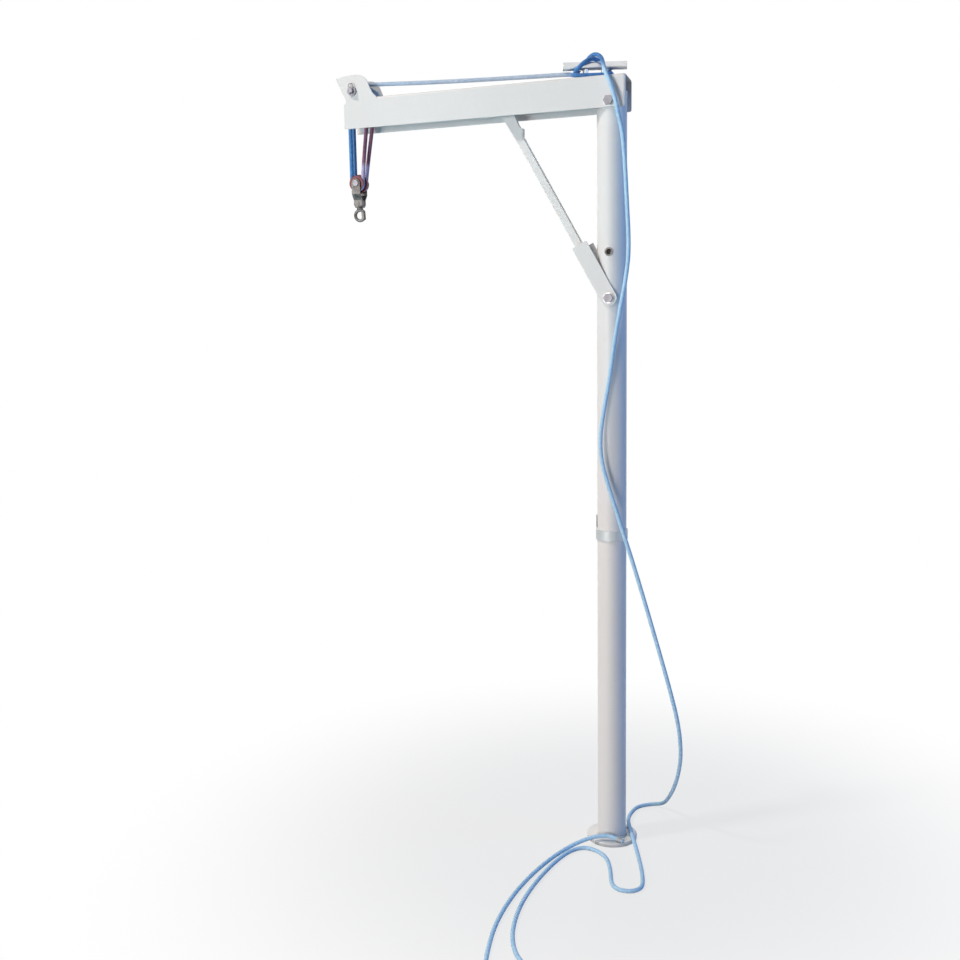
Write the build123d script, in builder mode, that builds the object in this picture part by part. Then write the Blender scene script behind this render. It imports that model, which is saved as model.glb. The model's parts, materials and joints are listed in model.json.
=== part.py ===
from build123d import *
import math
import os

# Outboard motor lifting davit. Millimetres, +Z up, origin on the mast's axis
# at the underside of the deck plate. At rest the boom points along -X.

os.makedirs("parts", exist_ok=True)

# Clearances
RUNNING = 0.08  # radial, a pin or shaft that turns in its hole
WELD_FIT = 0.02  # radial, a piece that is welded or pressed in place
SEAT = 0.1  # between two flat faces that slide on each other
APART = 0.3  # between pieces that pass close by

# Mast
MAST_DIA = 57.15
MAST_WALL = 3.2
PIVOT_HEIGHT = 1458.0
MAST_ABOVE_PIVOT = 21.0
BRACE_BOLT_BELOW_PIVOT = 362.0
SPARE_HOLE_BELOW_PIVOT = 275.0
SLEEVE_DIA = 16.0
BOLT_DIA = 10.0

# Deck foot
PLATE_DIA = 102.0
PLATE_THICKNESS = 8.0
PLATE_EDGE = 2.5
PLATE_HOLE_CIRCLE = 80.0
PLATE_HOLE_DIA = 8.5
SPIGOT_HEIGHT = 62.0
SPIGOT_WALL = 4.0
SPIGOT_EDGE = 1.0
BUSH_WALL = 2.5
BUSH_HEIGHT = 48.0
BUSH_UP = 1.0
WASHER_THICKNESS = 3.0
WASHER_PAST_MAST = 2.5

# Rail clamp
RAIL_DIA = 25.4
RAIL_HEIGHT = 641.0
RAIL_BEARING = 20.0
CLAMP_ABOVE_RAIL = 22.0
CLAMP_BELOW_RAIL = 22.0
CLAMP_HALF_WIDTH = 22.0
CLAMP_FRONT = 14.0
CLAMP_WEB = 8.0
CLAMP_LINER_WALL = 1.0
LINER_SPLIT = 3.0
CLAMP_STRAP_WALL = 1.6
CLAMP_STRAP_HEIGHT = 20.0
CLAMP_STRAP_DROP = 6.0
CLAMP_STRAP_REACH = 37.0
RAIL_CAP_WALL = 6.0
RAIL_CAP_EDGE = 4.0
CLAMP_SCREW_DIA = 5.0
SIDE_SCREW_BACK = 4.5
SIDE_SCREW_DEPTH = 9.0
CAP_SCREW_ACROSS = 13.0
CAP_SCREW_DEPTH = 8.0
SCREW_HOLE_WALL = 1.3

# Cap in the top of the mast
MAST_CAP_THICKNESS = 3.0
MAST_CAP_SPIGOT = 12.0
MAST_CAP_WALL = 3.0
MAST_CAP_EDGE = 1.5
MAST_CAP_INSET = 0.5

# Boom channel
CHANNEL_INNER = 58.3
CHANNEL_WALL = 2.6
CHANNEL_HEIGHT = 58.7
CHANNEL_BEND = 5.0
BOOM_BELOW_PIVOT = 11.4
BOOM_TAIL = 33.0
BOOM_TIP = 540.0
WEB_END = 497.0
HORN_FOOT = 469.0
HORN_FRONT = [(540.0, 46.0), (534.5, 54.5), (543.5, 71.5), (556.0, 98.5)]
HORN_CROWN = [(531.0, 103.0), (507.0, 103.0)]
HORN_BACK = [(493.0, 96.5), (479.0, 69.5)]
TAIL_ROUND = 6.0
DEAD_END_OUT = 488.0
DEAD_END_HOLE_DIA = 10.0

# Head sheaves
AXLE_DIA = 10.0
AXLE_OUT = 521.5
AXLE_UP = 72.0
ROPE_DIA = 8.0
UPPER_PITCH_RADIUS = 17.0
LOWER_PITCH_RADIUS = 12.0
SHEAVE_WIDTH = 12.0
SHEAVE_SPACING = 17.0
GROOVE_CLEARANCE = 0.3
SHEAVE_LIP = 3.5
SHEAVE_EDGE = 0.6
SPACER_WALL = 3.0

# Axle in the horn
AXLE_HEAD = 3.0
AXLE_HEAD_WALL = 3.5
AXLE_END = 9.0
AXLE_WASHER_WIDTH = 4.5
CLIP_WIRE = 1.8
CLIP_LEG = 7.0
CLIP_BEND = 6.0
CLIP_RETURN = 4.3

# Cleat
CLEAT_DIA = 15.9
CLEAT_WALL = 1.6
CLEAT_LENGTH = 121.0
CLEAT_HEIGHT = 24.0
CLEAT_X = -33.0
CLEAT_CANT = 16.0
POST_DIA = 11.0
POST_SPACING = 34.0
PLUG_FACE = 3.0
PLUG_DEPTH = 8.0

# Brace
BRACE_ANGLE = 29.2
BRACE_PLATE_HALF = 15.5
CLEVIS_LENGTH = 117.0
CLEVIS_WEB_START = 38.5
BAR_SIZE = 15.0
BAR_WALL = 2.0
BAR_EDGE = 1.5
BAR_START = 64.0
BAR_END = 352.0
PIN_ALONG = 427.0
HOOK_THICKNESS = 12.0
HOOK_SEAT_DEPTH = 7.0
HOOK_TAB = [(39.0, 3.5), (51.0, 3.0), (55.0, 7.5)]
HOOK_TAB_FOOT = 7.0
HOOK_BACK = 27.0
HOOK_NOSE = 7.0
HOOK_WALL = 2.0

# Hook block
BLOCK_X = -526.0
BLOCK_DROP = 176.6
BLOCK_AXLE_DIA = 8.0
STRAP_WIDTH = 18.0
STRAP_THICKNESS = 2.5
STRAP_GAP = 31.4
CROSSHEAD_DROP = 40.0
CROSSHEAD_WIDTH = 14.0
CROSSHEAD_HEIGHT = 14.0
STRAP_SHOULDER = 5.0
STRAP_FOOT_ROUND = 5.0
DIVIDER_LIP = 7.0
DIVIDER_EDGE = 1.5
BLOCK_AXLE_HEAD = 2.5
BLOCK_AXLE_END = 4.0
BLOCK_RING = 2.0
TRUNNION_DIA = 6.0
TRUNNION_OUT = 1.2
SHANK_DIA = 7.0
COLLAR_DIA = 13.0
COLLAR_HEIGHT = 4.0
SWIVEL_NUT_DIA = 11.0

# Hook and its gate; angles are on the hook's ring, from level at its open side
HOOK_WIRE = 6.5
HOOK_RADIUS = 10.5
HOOK_NECK = 1.0
LUG_ANGLE = 38.0
TIP_ANGLE = -35.0
TIP_LAP = 6.0
GATE_ANGLE = 48.0
GATE_PIN_DIA = 2.5
GATE_PIN_OUT = 0.8
GATE_SHEET = 1.2
GATE_CHEEK = 5.0
GATE_BAR = (6.0, 3.4)
GATE_BAR_EDGE = 1.0

# Spare rope and the knot
COIL_X = -15.0
COIL_Y = -605.0
COIL_RADIUS = 52.0
COIL_WIDTH = 32.0
COIL_HEIGHT = 32.0
COIL_EDGE = 3.5
KNOT_RADIUS = 8.5
KNOT_SUNK = 1.2

# Rope, laid by hand. The cleat's turns are in the cleat's own plane.
BEND_SHARE = 0.45
LEAD_WRAP = 0.99
LEAD_DROP = 1.0
LEAD_SAG = (-300.0, -8.2, 18.0)
LEAD_END = (-95.0, -7.5, 12.0)
CLEAT_ENTRY = (-80.0, -7.4, 11.5)
CLEAT_TURNS = [
    (-40.0, -12.0, 5.5), (-24.0, -14.0, 4.5), (0.0, -14.5, 4.5), (18.0, -14.0, 5.0), (31.0, -8.0, 8.0),
    (33.0, 5.0, 8.5), (29.0, 15.0, 17.0), (17.0, 13.5, 31.0), (0.0, 0.0, 38.5), (-17.0, -13.5, 31.0),
    (-29.0, -16.5, 20.0), (-36.0, -11.0, 13.5), (-37.5, 0.0, 11.0), (-35.0, 10.0, 11.0),
    (-29.0, 15.0, 20.0), (-17.0, 13.0, 34.0), (-2.0, 1.0, 47.5), (12.0, -13.0, 38.0), (13.0, -23.7, 27.1)]
OVER_EDGE = (14.9, -43.3, 7.2)

# The tail hangs between the pivot and the deck; its heights are for this height of the pivot
LAID_PIVOT_HEIGHT = 1458.0
LAID_ON_DECK = 100.0
TAIL_UPPER = [
    (6.0, -44.0, 1487.0), (14.5, -42.5, 1459.0), (20.5, -41.0, 1428.0), (28.0, -40.0, 1398.0),
    (32.5, -39.5, 1346.0), (36.0, -39.0, 1275.0), (41.0, -39.0, 1185.0), (34.0, -39.0, 1128.0),
    (25.0, -38.5, 1083.0), (18.3, -38.0, 1046.0)]
TAIL_LOWER = [
    (12.3, -37.5, 1013.0), (4.6, -38.0, 953.0), (-6.0, -39.0, 893.0), (-15.0, -40.0, 835.0),
    (-13.0, -40.5, 785.0), (5.3, -42.0, 724.0), (27.5, -44.0, 656.0), (43.5, -46.0, 610.0),
    (69.0, -50.0, 531.0), (98.0, -54.0, 436.0), (124.5, -54.0, 344.0), (141.0, -45.0, 270.0),
    (143.0, -18.0, 200.0), (132.0, 25.0, 140.0), (116.0, 75.0, 86.0), (99.0, 122.0, 44.0),
    (82.0, 156.0, 12.0), (54.0, 164.0, 4.2), (27.0, 143.0, 4.2), (20.0, 106.0, 5.5), (21.0, 66.0, 10.0),
    (29.0, 34.0, 13.0), (39.0, 4.0, 13.2), (50.0, -28.0, 12.6), (66.0, -70.0, 5.0), (84.0, -128.0, 4.2),
    (95.0, -174.0, 4.2), (96.0, -200.0, 4.2), (80.0, -217.0, 4.2), (55.0, -217.0, 4.2),
    (39.0, -199.0, 4.2), (28.0, -150.0, 4.2), (12.0, -104.0, 4.2), (-12.0, -80.0, 4.2),
    (-42.0, -72.0, 4.2), (-64.0, -93.0, 4.2), (-78.0, -130.0, 4.2), (-90.0, -180.0, 4.2),
    (-99.0, -240.0, 4.2), (-103.0, -305.0, 4.2), (-99.0, -370.0, 4.2), (-86.0, -432.0, 4.2),
    (-60.0, -484.0, 4.2), (-22.0, -513.0, 4.2), (18.0, -520.0, 4.2), (46.0, -543.0, 4.2),
    (58.0, -578.0, 4.2)]
ROPE_END = [
    (-90.0, -577.0, 4.2), (-103.0, -530.0, 4.2), (-116.0, -470.0, 4.2), (-126.0, -405.0, 4.2),
    (-128.0, -340.0, 4.2), (-124.0, -275.0, 4.2), (-114.0, -212.0, 4.2), (-100.0, -156.0, 4.2),
    (-84.0, -110.0, 4.8), (-63.0, -77.0, 9.0), (-39.0, -56.0, 15.0), (-14.0, -43.0, 19.5),
    (10.0, -40.0, 18.5), (31.0, -43.0, 13.0)]

# Worked out
mast_radius = MAST_DIA / 2
mast_bore = mast_radius - MAST_WALL
mast_top = PIVOT_HEIGHT + MAST_ABOVE_PIVOT
brace_bolt_height = PIVOT_HEIGHT - BRACE_BOLT_BELOW_PIVOT
spare_hole_height = PIVOT_HEIGHT - SPARE_HOLE_BELOW_PIVOT
boom_bottom = PIVOT_HEIGHT - BOOM_BELOW_PIVOT
boom_top = boom_bottom + CHANNEL_HEIGHT
channel_outer = CHANNEL_INNER + 2 * CHANNEL_WALL
axle_height = boom_bottom + AXLE_UP
block_height = axle_height - BLOCK_DROP
bolt_hole = BOLT_DIA / 2 + RUNNING
foot_height = PLATE_THICKNESS + WASHER_THICKNESS + SEAT


def save(part: Part, name: str):
    """Label a finished piece and write its STEP file."""
    part.label = name
    export_step(part, f"parts/{name}.step")
    print(name, "volume", round(part.volume, 1), "solids", len(part.solids()))


def hex_size(diameter: float) -> float:
    """Width across the flats of a bolt head of this thread."""
    return 1.6 * diameter


# Deck plate with four screw holes
with BuildPart() as deck_plate:
    Cylinder(PLATE_DIA / 2, PLATE_THICKNESS, align=(Align.CENTER, Align.CENTER, Align.MIN))
    fillet(deck_plate.edges().group_by(Axis.Z)[-1], PLATE_EDGE)
    with PolarLocations(PLATE_HOLE_CIRCLE / 2, 4, start_angle=45):
        Cylinder(PLATE_HOLE_DIA / 2, 4 * PLATE_THICKNESS, mode=Mode.SUBTRACT)
save(deck_plate.part, "deck_plate")

bush_outer = mast_bore - RUNNING
bush_inner = bush_outer - BUSH_WALL
spigot_radius = bush_inner - WELD_FIT

with BuildPart() as deck_spigot:
    with BuildSketch(Plane.XY.offset(PLATE_THICKNESS)):
        Circle(spigot_radius)
        Circle(spigot_radius - SPIGOT_WALL, mode=Mode.SUBTRACT)
    extrude(amount=SPIGOT_HEIGHT)
    chamfer(deck_spigot.edges().group_by(Axis.Z)[-1], SPIGOT_EDGE)
save(deck_spigot.part, "deck_spigot")

with BuildPart() as spigot_bush:
    with BuildSketch(Plane.XY.offset(foot_height + BUSH_UP)):
        Circle(bush_outer)
        Circle(bush_inner, mode=Mode.SUBTRACT)
    extrude(amount=BUSH_HEIGHT)
save(spigot_bush.part, "spigot_bush")

with BuildPart() as thrust_washer:
    with BuildSketch(Plane.XY.offset(PLATE_THICKNESS)):
        Circle(mast_radius + WASHER_PAST_MAST)
        Circle(spigot_radius + WELD_FIT, mode=Mode.SUBTRACT)
    extrude(amount=WASHER_THICKNESS)
save(thrust_washer.part, "thrust_washer")

# Mast tube with its three cross holes
with BuildPart() as mast_tube:
    with BuildSketch(Plane.XY.offset(foot_height)):
        Circle(mast_radius)
        Circle(mast_bore, mode=Mode.SUBTRACT)
    extrude(amount=mast_top - foot_height)
    for height in (PIVOT_HEIGHT, brace_bolt_height, spare_hole_height):
        with Locations((0, 0, height)):
            Cylinder(SLEEVE_DIA / 2 + WELD_FIT, 2 * MAST_DIA, rotation=(90, 0, 0), mode=Mode.SUBTRACT)
save(mast_tube.part, "mast_tube")

# Cap in the top of the mast
with BuildPart() as mast_cap:
    with BuildSketch(Plane.XY.offset(mast_top)):
        Circle(mast_radius - MAST_CAP_INSET)
    extrude(amount=MAST_CAP_THICKNESS)
    fillet(mast_cap.edges().group_by(Axis.Z)[-1], MAST_CAP_EDGE)
    with BuildSketch(Plane.XY.offset(mast_top)):
        Circle(mast_bore - WELD_FIT)
        Circle(mast_bore - MAST_CAP_WALL, mode=Mode.SUBTRACT)
    extrude(amount=-MAST_CAP_SPIGOT)
save(mast_cap.part, "mast_cap")

sleeve_length = CHANNEL_INNER - 2 * SEAT


def cross_sleeve(height: float, bore_radius: float) -> Part:
    """A tube across the mast at this height."""
    with BuildPart() as sleeve:
        with BuildSketch(Plane.XZ.offset(-sleeve_length / 2)):
            with Locations((0, height)):
                Circle(SLEEVE_DIA / 2)
                Circle(bore_radius, mode=Mode.SUBTRACT)
        extrude(amount=sleeve_length)
    return sleeve.part


with BuildPart() as pivot_sleeve:
    add(cross_sleeve(PIVOT_HEIGHT, bolt_hole))
save(pivot_sleeve.part, "pivot_sleeve")

with BuildPart() as brace_sleeves:
    add(cross_sleeve(brace_bolt_height, bolt_hole))
    add(cross_sleeve(spare_hole_height, bolt_hole))
save(brace_sleeves.part, "brace_sleeves")

# Rail clamp, in a plane turned to the rail: its x runs along the rail, its y from the mast to the rail
bearing = math.radians(RAIL_BEARING)
rail_x = (math.cos(bearing), math.sin(bearing), 0)
rail_y = (-math.sin(bearing), math.cos(bearing), 0)
clamp_height = CLAMP_ABOVE_RAIL + CLAMP_BELOW_RAIL
clamp_plane = Plane(origin=(0, 0, RAIL_HEIGHT), x_dir=rail_x, z_dir=(0, 0, 1))
clamp_floor = clamp_plane.offset(-CLAMP_BELOW_RAIL)
strap_floor = clamp_plane.offset(-CLAMP_STRAP_DROP - CLAMP_STRAP_HEIGHT / 2)
liner_inner = mast_radius + RUNNING
liner_outer = liner_inner + CLAMP_LINER_WALL
strap_inner = liner_outer + WELD_FIT
strap_outer = strap_inner + CLAMP_STRAP_WALL
rail_out = liner_outer + CLAMP_WEB + RAIL_DIA / 2
rail_plane = Plane(origin=clamp_plane.from_local_coords((0, rail_out, 0)), x_dir=rail_y, z_dir=rail_x)
cap_depth = RAIL_DIA / 2 + RAIL_CAP_WALL
cap_screw_rise = RAIL_DIA / 2 + CLAMP_SCREW_DIA / 2 + SCREW_HOLE_WALL
cap_screw_places = [
    (across, rise) for across in (-CAP_SCREW_ACROSS, CAP_SCREW_ACROSS)
    for rise in (-cap_screw_rise, cap_screw_rise)]
head_radius = 0.8 * CLAMP_SCREW_DIA
head_height = 0.5 * CLAMP_SCREW_DIA

# The strap's legs leave the mast's round at this angle and close in on the block
leg_angle = math.atan2(CLAMP_STRAP_REACH, CLAMP_HALF_WIDTH) - math.acos(
    strap_inner / math.hypot(CLAMP_STRAP_REACH, CLAMP_HALF_WIDTH))
leg_lean = math.tan(leg_angle)


def leg_side(radius: float, reach: float) -> float:
    """Half the width, at this reach, between two legs that touch a round of this radius."""
    return radius / math.cos(leg_angle) - reach * leg_lean


def leg_outline(radius: float, reach: float) -> list:
    """The four corners of the space between the legs, from the mast's round to this reach."""
    start_x = radius * math.cos(leg_angle)
    start_y = radius * math.sin(leg_angle)
    end_x = leg_side(radius, reach)
    return [(-start_x, start_y), (start_x, start_y), (end_x, reach), (-end_x, reach)]


side_screw_y = CLAMP_STRAP_REACH - SIDE_SCREW_BACK


def side_plane(side: int, radius: float) -> Plane:
    """The face of a leg where its screw goes in, looking outwards."""
    place = (side * leg_side(radius, side_screw_y), side_screw_y, -CLAMP_STRAP_DROP)
    outwards = clamp_plane.x_dir * (side * math.cos(leg_angle)) + clamp_plane.y_dir * math.sin(leg_angle)
    return Plane(origin=clamp_plane.from_local_coords(place), z_dir=outwards)


with BuildPart() as clamp_liner:
    with BuildSketch(strap_floor):
        Circle(liner_outer)
        Circle(liner_inner, mode=Mode.SUBTRACT)
        with Locations((0, liner_outer)):
            Rectangle(LINER_SPLIT, 4 * CLAMP_LINER_WALL, mode=Mode.SUBTRACT)
    extrude(amount=CLAMP_STRAP_HEIGHT)
save(clamp_liner.part, "clamp_liner")

# Band round the front of the mast, its two legs screwed to the sides of the block
with BuildPart() as clamp_strap:
    with BuildSketch(strap_floor):
        Circle(strap_outer)
        Polygon(*leg_outline(strap_outer, CLAMP_STRAP_REACH), align=None)
        Circle(strap_inner, mode=Mode.SUBTRACT)
        Polygon(*leg_outline(strap_inner, 2 * CLAMP_STRAP_REACH), align=None, mode=Mode.SUBTRACT)
    extrude(amount=CLAMP_STRAP_HEIGHT)
    for side in (-1, 1):
        with BuildSketch(side_plane(side, strap_outer)):
            Circle(CLAMP_SCREW_DIA / 2 + WELD_FIT)
        extrude(amount=-2 * CLAMP_STRAP_WALL, mode=Mode.SUBTRACT)
save(clamp_strap.part, "clamp_strap")

block_side = strap_inner - WELD_FIT
with BuildPart() as clamp_block:
    with BuildSketch(clamp_floor):
        Polygon(*leg_outline(block_side, CLAMP_STRAP_REACH), align=None)
        with Locations((0, (rail_out + CLAMP_STRAP_REACH) / 2)):
            Rectangle(2 * leg_side(block_side, CLAMP_STRAP_REACH), rail_out - CLAMP_STRAP_REACH)
        Circle(strap_inner, mode=Mode.SUBTRACT)
        Rectangle(3 * MAST_DIA, 2 * CLAMP_FRONT, mode=Mode.SUBTRACT)
    extrude(amount=clamp_height)
    with BuildSketch(rail_plane):
        Circle(RAIL_DIA / 2)
    extrude(amount=MAST_DIA, both=True, mode=Mode.SUBTRACT)
    for side in (-1, 1):
        with BuildSketch(side_plane(side, strap_outer)):
            Circle(CLAMP_SCREW_DIA / 2 + WELD_FIT)
        extrude(amount=-(CLAMP_STRAP_WALL + SIDE_SCREW_DEPTH + WELD_FIT), mode=Mode.SUBTRACT)
    with Locations(clamp_plane):
        with Locations(*[(across, rail_out, rise) for across, rise in cap_screw_places]):
            Cylinder(
                CLAMP_SCREW_DIA / 2 + WELD_FIT, 2 * (CAP_SCREW_DEPTH + APART),
                rotation=(90, 0, 0), mode=Mode.SUBTRACT)
save(clamp_block.part, "clamp_block")

with BuildPart() as rail_cap:
    with BuildSketch(clamp_floor):
        with Locations((0, rail_out + APART + cap_depth / 2)):
            Rectangle(2 * leg_side(block_side, CLAMP_STRAP_REACH), cap_depth)
    extrude(amount=clamp_height)
    fillet(rail_cap.edges().filter_by(Axis.Z).sort_by(Axis.Y)[-2:], RAIL_CAP_EDGE)
    with BuildSketch(rail_plane):
        Circle(RAIL_DIA / 2)
    extrude(amount=MAST_DIA, both=True, mode=Mode.SUBTRACT)
    with Locations(clamp_plane):
        with Locations(*[(across, rail_out, rise) for across, rise in cap_screw_places]):
            Cylinder(CLAMP_SCREW_DIA / 2 + WELD_FIT, 4 * cap_depth, rotation=(90, 0, 0), mode=Mode.SUBTRACT)
save(rail_cap.part, "rail_cap")

with BuildPart() as clamp_side_screws:
    for side in (-1, 1):
        with BuildSketch(side_plane(side, strap_outer)):
            Circle(head_radius)
        extrude(amount=head_height)
        with BuildSketch(side_plane(side, strap_outer)):
            Circle(CLAMP_SCREW_DIA / 2)
        extrude(amount=-(CLAMP_STRAP_WALL + SIDE_SCREW_DEPTH))
    fillet(clamp_side_screws.edges().filter_by(GeomType.CIRCLE).filter_by(
        lambda edge: abs(edge.radius - head_radius) < WELD_FIT), head_height / 4)
save(clamp_side_screws.part, "clamp_side_screws")

with BuildPart() as rail_cap_screws:
    for across, rise in cap_screw_places:
        screw_plane = Plane(
            origin=clamp_plane.from_local_coords((across, rail_out + APART + cap_depth, rise)),
            z_dir=clamp_plane.y_dir)
        with BuildSketch(screw_plane):
            Circle(head_radius)
        extrude(amount=head_height)
        with BuildSketch(screw_plane):
            Circle(CLAMP_SCREW_DIA / 2)
        extrude(amount=-cap_depth - CAP_SCREW_DEPTH)
save(rail_cap_screws.part, "rail_cap_screws")


# Boom channel: an inverted U with the horn's two cheeks at its tip
def above_boom(out: float, up: float) -> tuple:
    """A point of the boom's side view, from the pivot towards the tip and up from the lower edge."""
    return (-out, boom_bottom + up)


with BuildPart() as boom_channel:
    with BuildSketch(Plane.YZ.offset(BOOM_TAIL)):
        with Locations((0, boom_bottom + CHANNEL_HEIGHT / 2)):
            Rectangle(channel_outer, CHANNEL_HEIGHT)
    extrude(amount=-(BOOM_TAIL + HORN_FOOT))
    fillet(boom_channel.edges().filter_by(Axis.X).group_by(Axis.Z)[-1], CHANNEL_BEND)
    fillet(boom_channel.edges().filter_by(Axis.Y).sort_by(Axis.X)[-2:], TAIL_ROUND)
    with BuildSketch(Plane.XZ.offset(channel_outer / 2)) as horn_side:
        with BuildLine():
            Polyline(
                above_boom(HORN_FOOT, 0), above_boom(BOOM_TIP, 0),
                *[above_boom(*point) for point in HORN_FRONT])
            ThreePointArc(*[above_boom(*point) for point in (HORN_FRONT[-1], *HORN_CROWN)])
            Spline(
                *[above_boom(*point) for point in (HORN_CROWN[-1], *HORN_BACK)],
                above_boom(HORN_FOOT, CHANNEL_HEIGHT))
            Line(above_boom(HORN_FOOT, CHANNEL_HEIGHT), above_boom(HORN_FOOT, 0))
        make_face()
    extrude(amount=-channel_outer)
    # The inside of the channel, open below and at both ends
    with BuildSketch(Plane.YZ.offset(2 * BOOM_TAIL)):
        with Locations((0, boom_top - CHANNEL_WALL - CHANNEL_HEIGHT)):
            Rectangle(CHANNEL_INNER, 2 * CHANNEL_HEIGHT)
    extrude(amount=-2 * BOOM_TIP, mode=Mode.SUBTRACT)
    # Between the cheeks: above the web, and right through in front of its end
    with Locations((-BOOM_TIP, 0, boom_top)):
        Box(2 * (BOOM_TIP - WEB_END), CHANNEL_INNER, 2 * CHANNEL_HEIGHT, mode=Mode.SUBTRACT)
    with Locations((-HORN_FOOT, 0, boom_top + CHANNEL_HEIGHT)):
        Box(2 * BOOM_TIP, CHANNEL_INNER, 2 * CHANNEL_HEIGHT, mode=Mode.SUBTRACT)
    for out, up, radius in ((0, BOOM_BELOW_PIVOT, bolt_hole), (AXLE_OUT, AXLE_UP, AXLE_DIA / 2 + WELD_FIT)):
        with Locations(above_boom(out, up)[:1] + (0,) + above_boom(out, up)[1:]):
            Cylinder(radius, 2 * channel_outer, rotation=(90, 0, 0), mode=Mode.SUBTRACT)
    with Locations((-DEAD_END_OUT, SHEAVE_SPACING / 2, boom_top)):
        Cylinder(DEAD_END_HOLE_DIA / 2, CHANNEL_HEIGHT, mode=Mode.SUBTRACT)
save(boom_channel.part, "boom_channel")


def cross_bolt(height: float, x: float, half_grip: float, diameter: float) -> tuple:
    """A hexagon bolt, its nut and its two washers, along Y through (x, height)."""
    washer = 0.16 * diameter
    head = 0.64 * diameter
    nut = 0.8 * diameter
    near = Plane(origin=(x, -half_grip, height), x_dir=(1, 0, 0), z_dir=(0, -1, 0))
    far = Plane(origin=(x, half_grip, height), x_dir=(1, 0, 0), z_dir=(0, 1, 0))
    with BuildPart() as bolt:
        with BuildSketch(near.offset(washer)):
            RegularPolygon(hex_size(diameter) / 2, 6, major_radius=False)
        extrude(amount=head)
        with BuildSketch(near.offset(washer)):
            Circle(diameter / 2)
        extrude(amount=-(2 * half_grip + 2 * washer + nut + 2.0))
    with BuildPart() as nut_part:
        with BuildSketch(far.offset(washer)):
            RegularPolygon(hex_size(diameter) / 2, 6, major_radius=False)
            Circle(diameter / 2 + WELD_FIT, mode=Mode.SUBTRACT)
        extrude(amount=nut)
    with BuildPart() as washers:
        for side in (near, far):
            with BuildSketch(side):
                Circle(diameter)
                Circle(diameter / 2 + WELD_FIT, mode=Mode.SUBTRACT)
            extrude(amount=washer)
    return bolt.part, nut_part.part, washers.part


for piece, name in zip(
        cross_bolt(PIVOT_HEIGHT, 0, channel_outer / 2, BOLT_DIA),
        ("pivot_bolt", "pivot_nut", "pivot_washers")):
    save(piece, name)
for piece, name in zip(
        cross_bolt(brace_bolt_height, 0, channel_outer / 2, BOLT_DIA),
        ("brace_bolt", "brace_nut", "brace_washers")):
    save(piece, name)

# Brace, in a plane whose x runs up the brace from its bolt and whose y points outwards and down
lean = math.radians(BRACE_ANGLE)
brace_plane = Plane(
    origin=(0, 0, brace_bolt_height),
    x_dir=(-math.sin(lean), 0, math.cos(lean)),
    z_dir=(0, -1, 0))
bar_outer_side = BRACE_PLATE_HALF - CHANNEL_WALL
bar_middle = bar_outer_side - BAR_SIZE / 2

with BuildPart() as brace_clevis:
    with BuildSketch(brace_plane.offset(-channel_outer / 2)):
        Circle(BRACE_PLATE_HALF)
        with Locations((CLEVIS_LENGTH / 2, 0)):
            Rectangle(CLEVIS_LENGTH, 2 * BRACE_PLATE_HALF)
    extrude(amount=channel_outer)
    with BuildSketch(brace_plane.offset(-CHANNEL_INNER / 2)):
        with Locations((CLEVIS_LENGTH / 2, -2 * BRACE_PLATE_HALF + bar_outer_side)):
            Rectangle(2 * CLEVIS_LENGTH, 4 * BRACE_PLATE_HALF)
        with Locations((CLEVIS_WEB_START - CLEVIS_LENGTH, 0)):
            Rectangle(2 * CLEVIS_LENGTH, 4 * BRACE_PLATE_HALF)
    extrude(amount=CHANNEL_INNER, mode=Mode.SUBTRACT)
    with Locations((0, 0, brace_bolt_height)):
        Cylinder(BOLT_DIA / 2 + WELD_FIT, 2 * channel_outer, rotation=(90, 0, 0), mode=Mode.SUBTRACT)
save(brace_clevis.part, "brace_clevis")

with BuildPart() as brace_bar:
    bar_section = Plane(
        origin=brace_plane.from_local_coords((BAR_START, bar_middle, 0)),
        x_dir=brace_plane.y_dir, z_dir=brace_plane.x_dir)
    with BuildSketch(bar_section):
        RectangleRounded(BAR_SIZE, BAR_SIZE, BAR_EDGE)
        Rectangle(BAR_SIZE - 2 * BAR_WALL, BAR_SIZE - 2 * BAR_WALL, mode=Mode.SUBTRACT)
    extrude(amount=BAR_END - BAR_START)
save(brace_bar.part, "brace_bar")

# Hook on the brace's head: a tab for the finger, and a seat under the rest pin that is open up and inwards
seat_radius = BOLT_DIA / 2 + APART
seat_floor = PIN_ALONG - seat_radius
bar_inner_side = bar_outer_side - BAR_SIZE
with BuildPart() as brace_hook:
    with BuildSketch(brace_plane.offset(-HOOK_THICKNESS / 2)):
        with BuildLine():
            Polyline(
                (seat_floor, bar_middle), (seat_floor, bar_inner_side - HOOK_SEAT_DEPTH),
                *[(PIN_ALONG - back, bar_inner_side - rise) for back, rise in HOOK_TAB],
                (BAR_END + HOOK_TAB_FOOT, bar_inner_side), (BAR_END, bar_inner_side),
                (BAR_END, bar_outer_side), (PIN_ALONG - HOOK_BACK, bar_outer_side + HOOK_WALL),
                (PIN_ALONG + HOOK_NOSE, bar_outer_side + HOOK_WALL),
                (PIN_ALONG + HOOK_NOSE + HOOK_WALL, bar_middle + seat_radius + HOOK_WALL),
                (PIN_ALONG + HOOK_NOSE, bar_middle + seat_radius), (PIN_ALONG, bar_middle + seat_radius))
            RadiusArc(
                (PIN_ALONG, bar_middle + seat_radius), (seat_floor, bar_middle), -seat_radius)
        make_face()
    extrude(amount=HOOK_THICKNESS)
save(brace_hook.part, "brace_hook")

pin_place = brace_plane.from_local_coords((PIN_ALONG, bar_middle, 0))
with BuildPart() as rest_pin:
    with BuildSketch(Plane(origin=(pin_place.X, CHANNEL_INNER / 2, pin_place.Z), z_dir=(0, -1, 0))):
        Circle(BOLT_DIA / 2)
    extrude(amount=CHANNEL_INNER)
save(rest_pin.part, "rest_pin")

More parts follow.
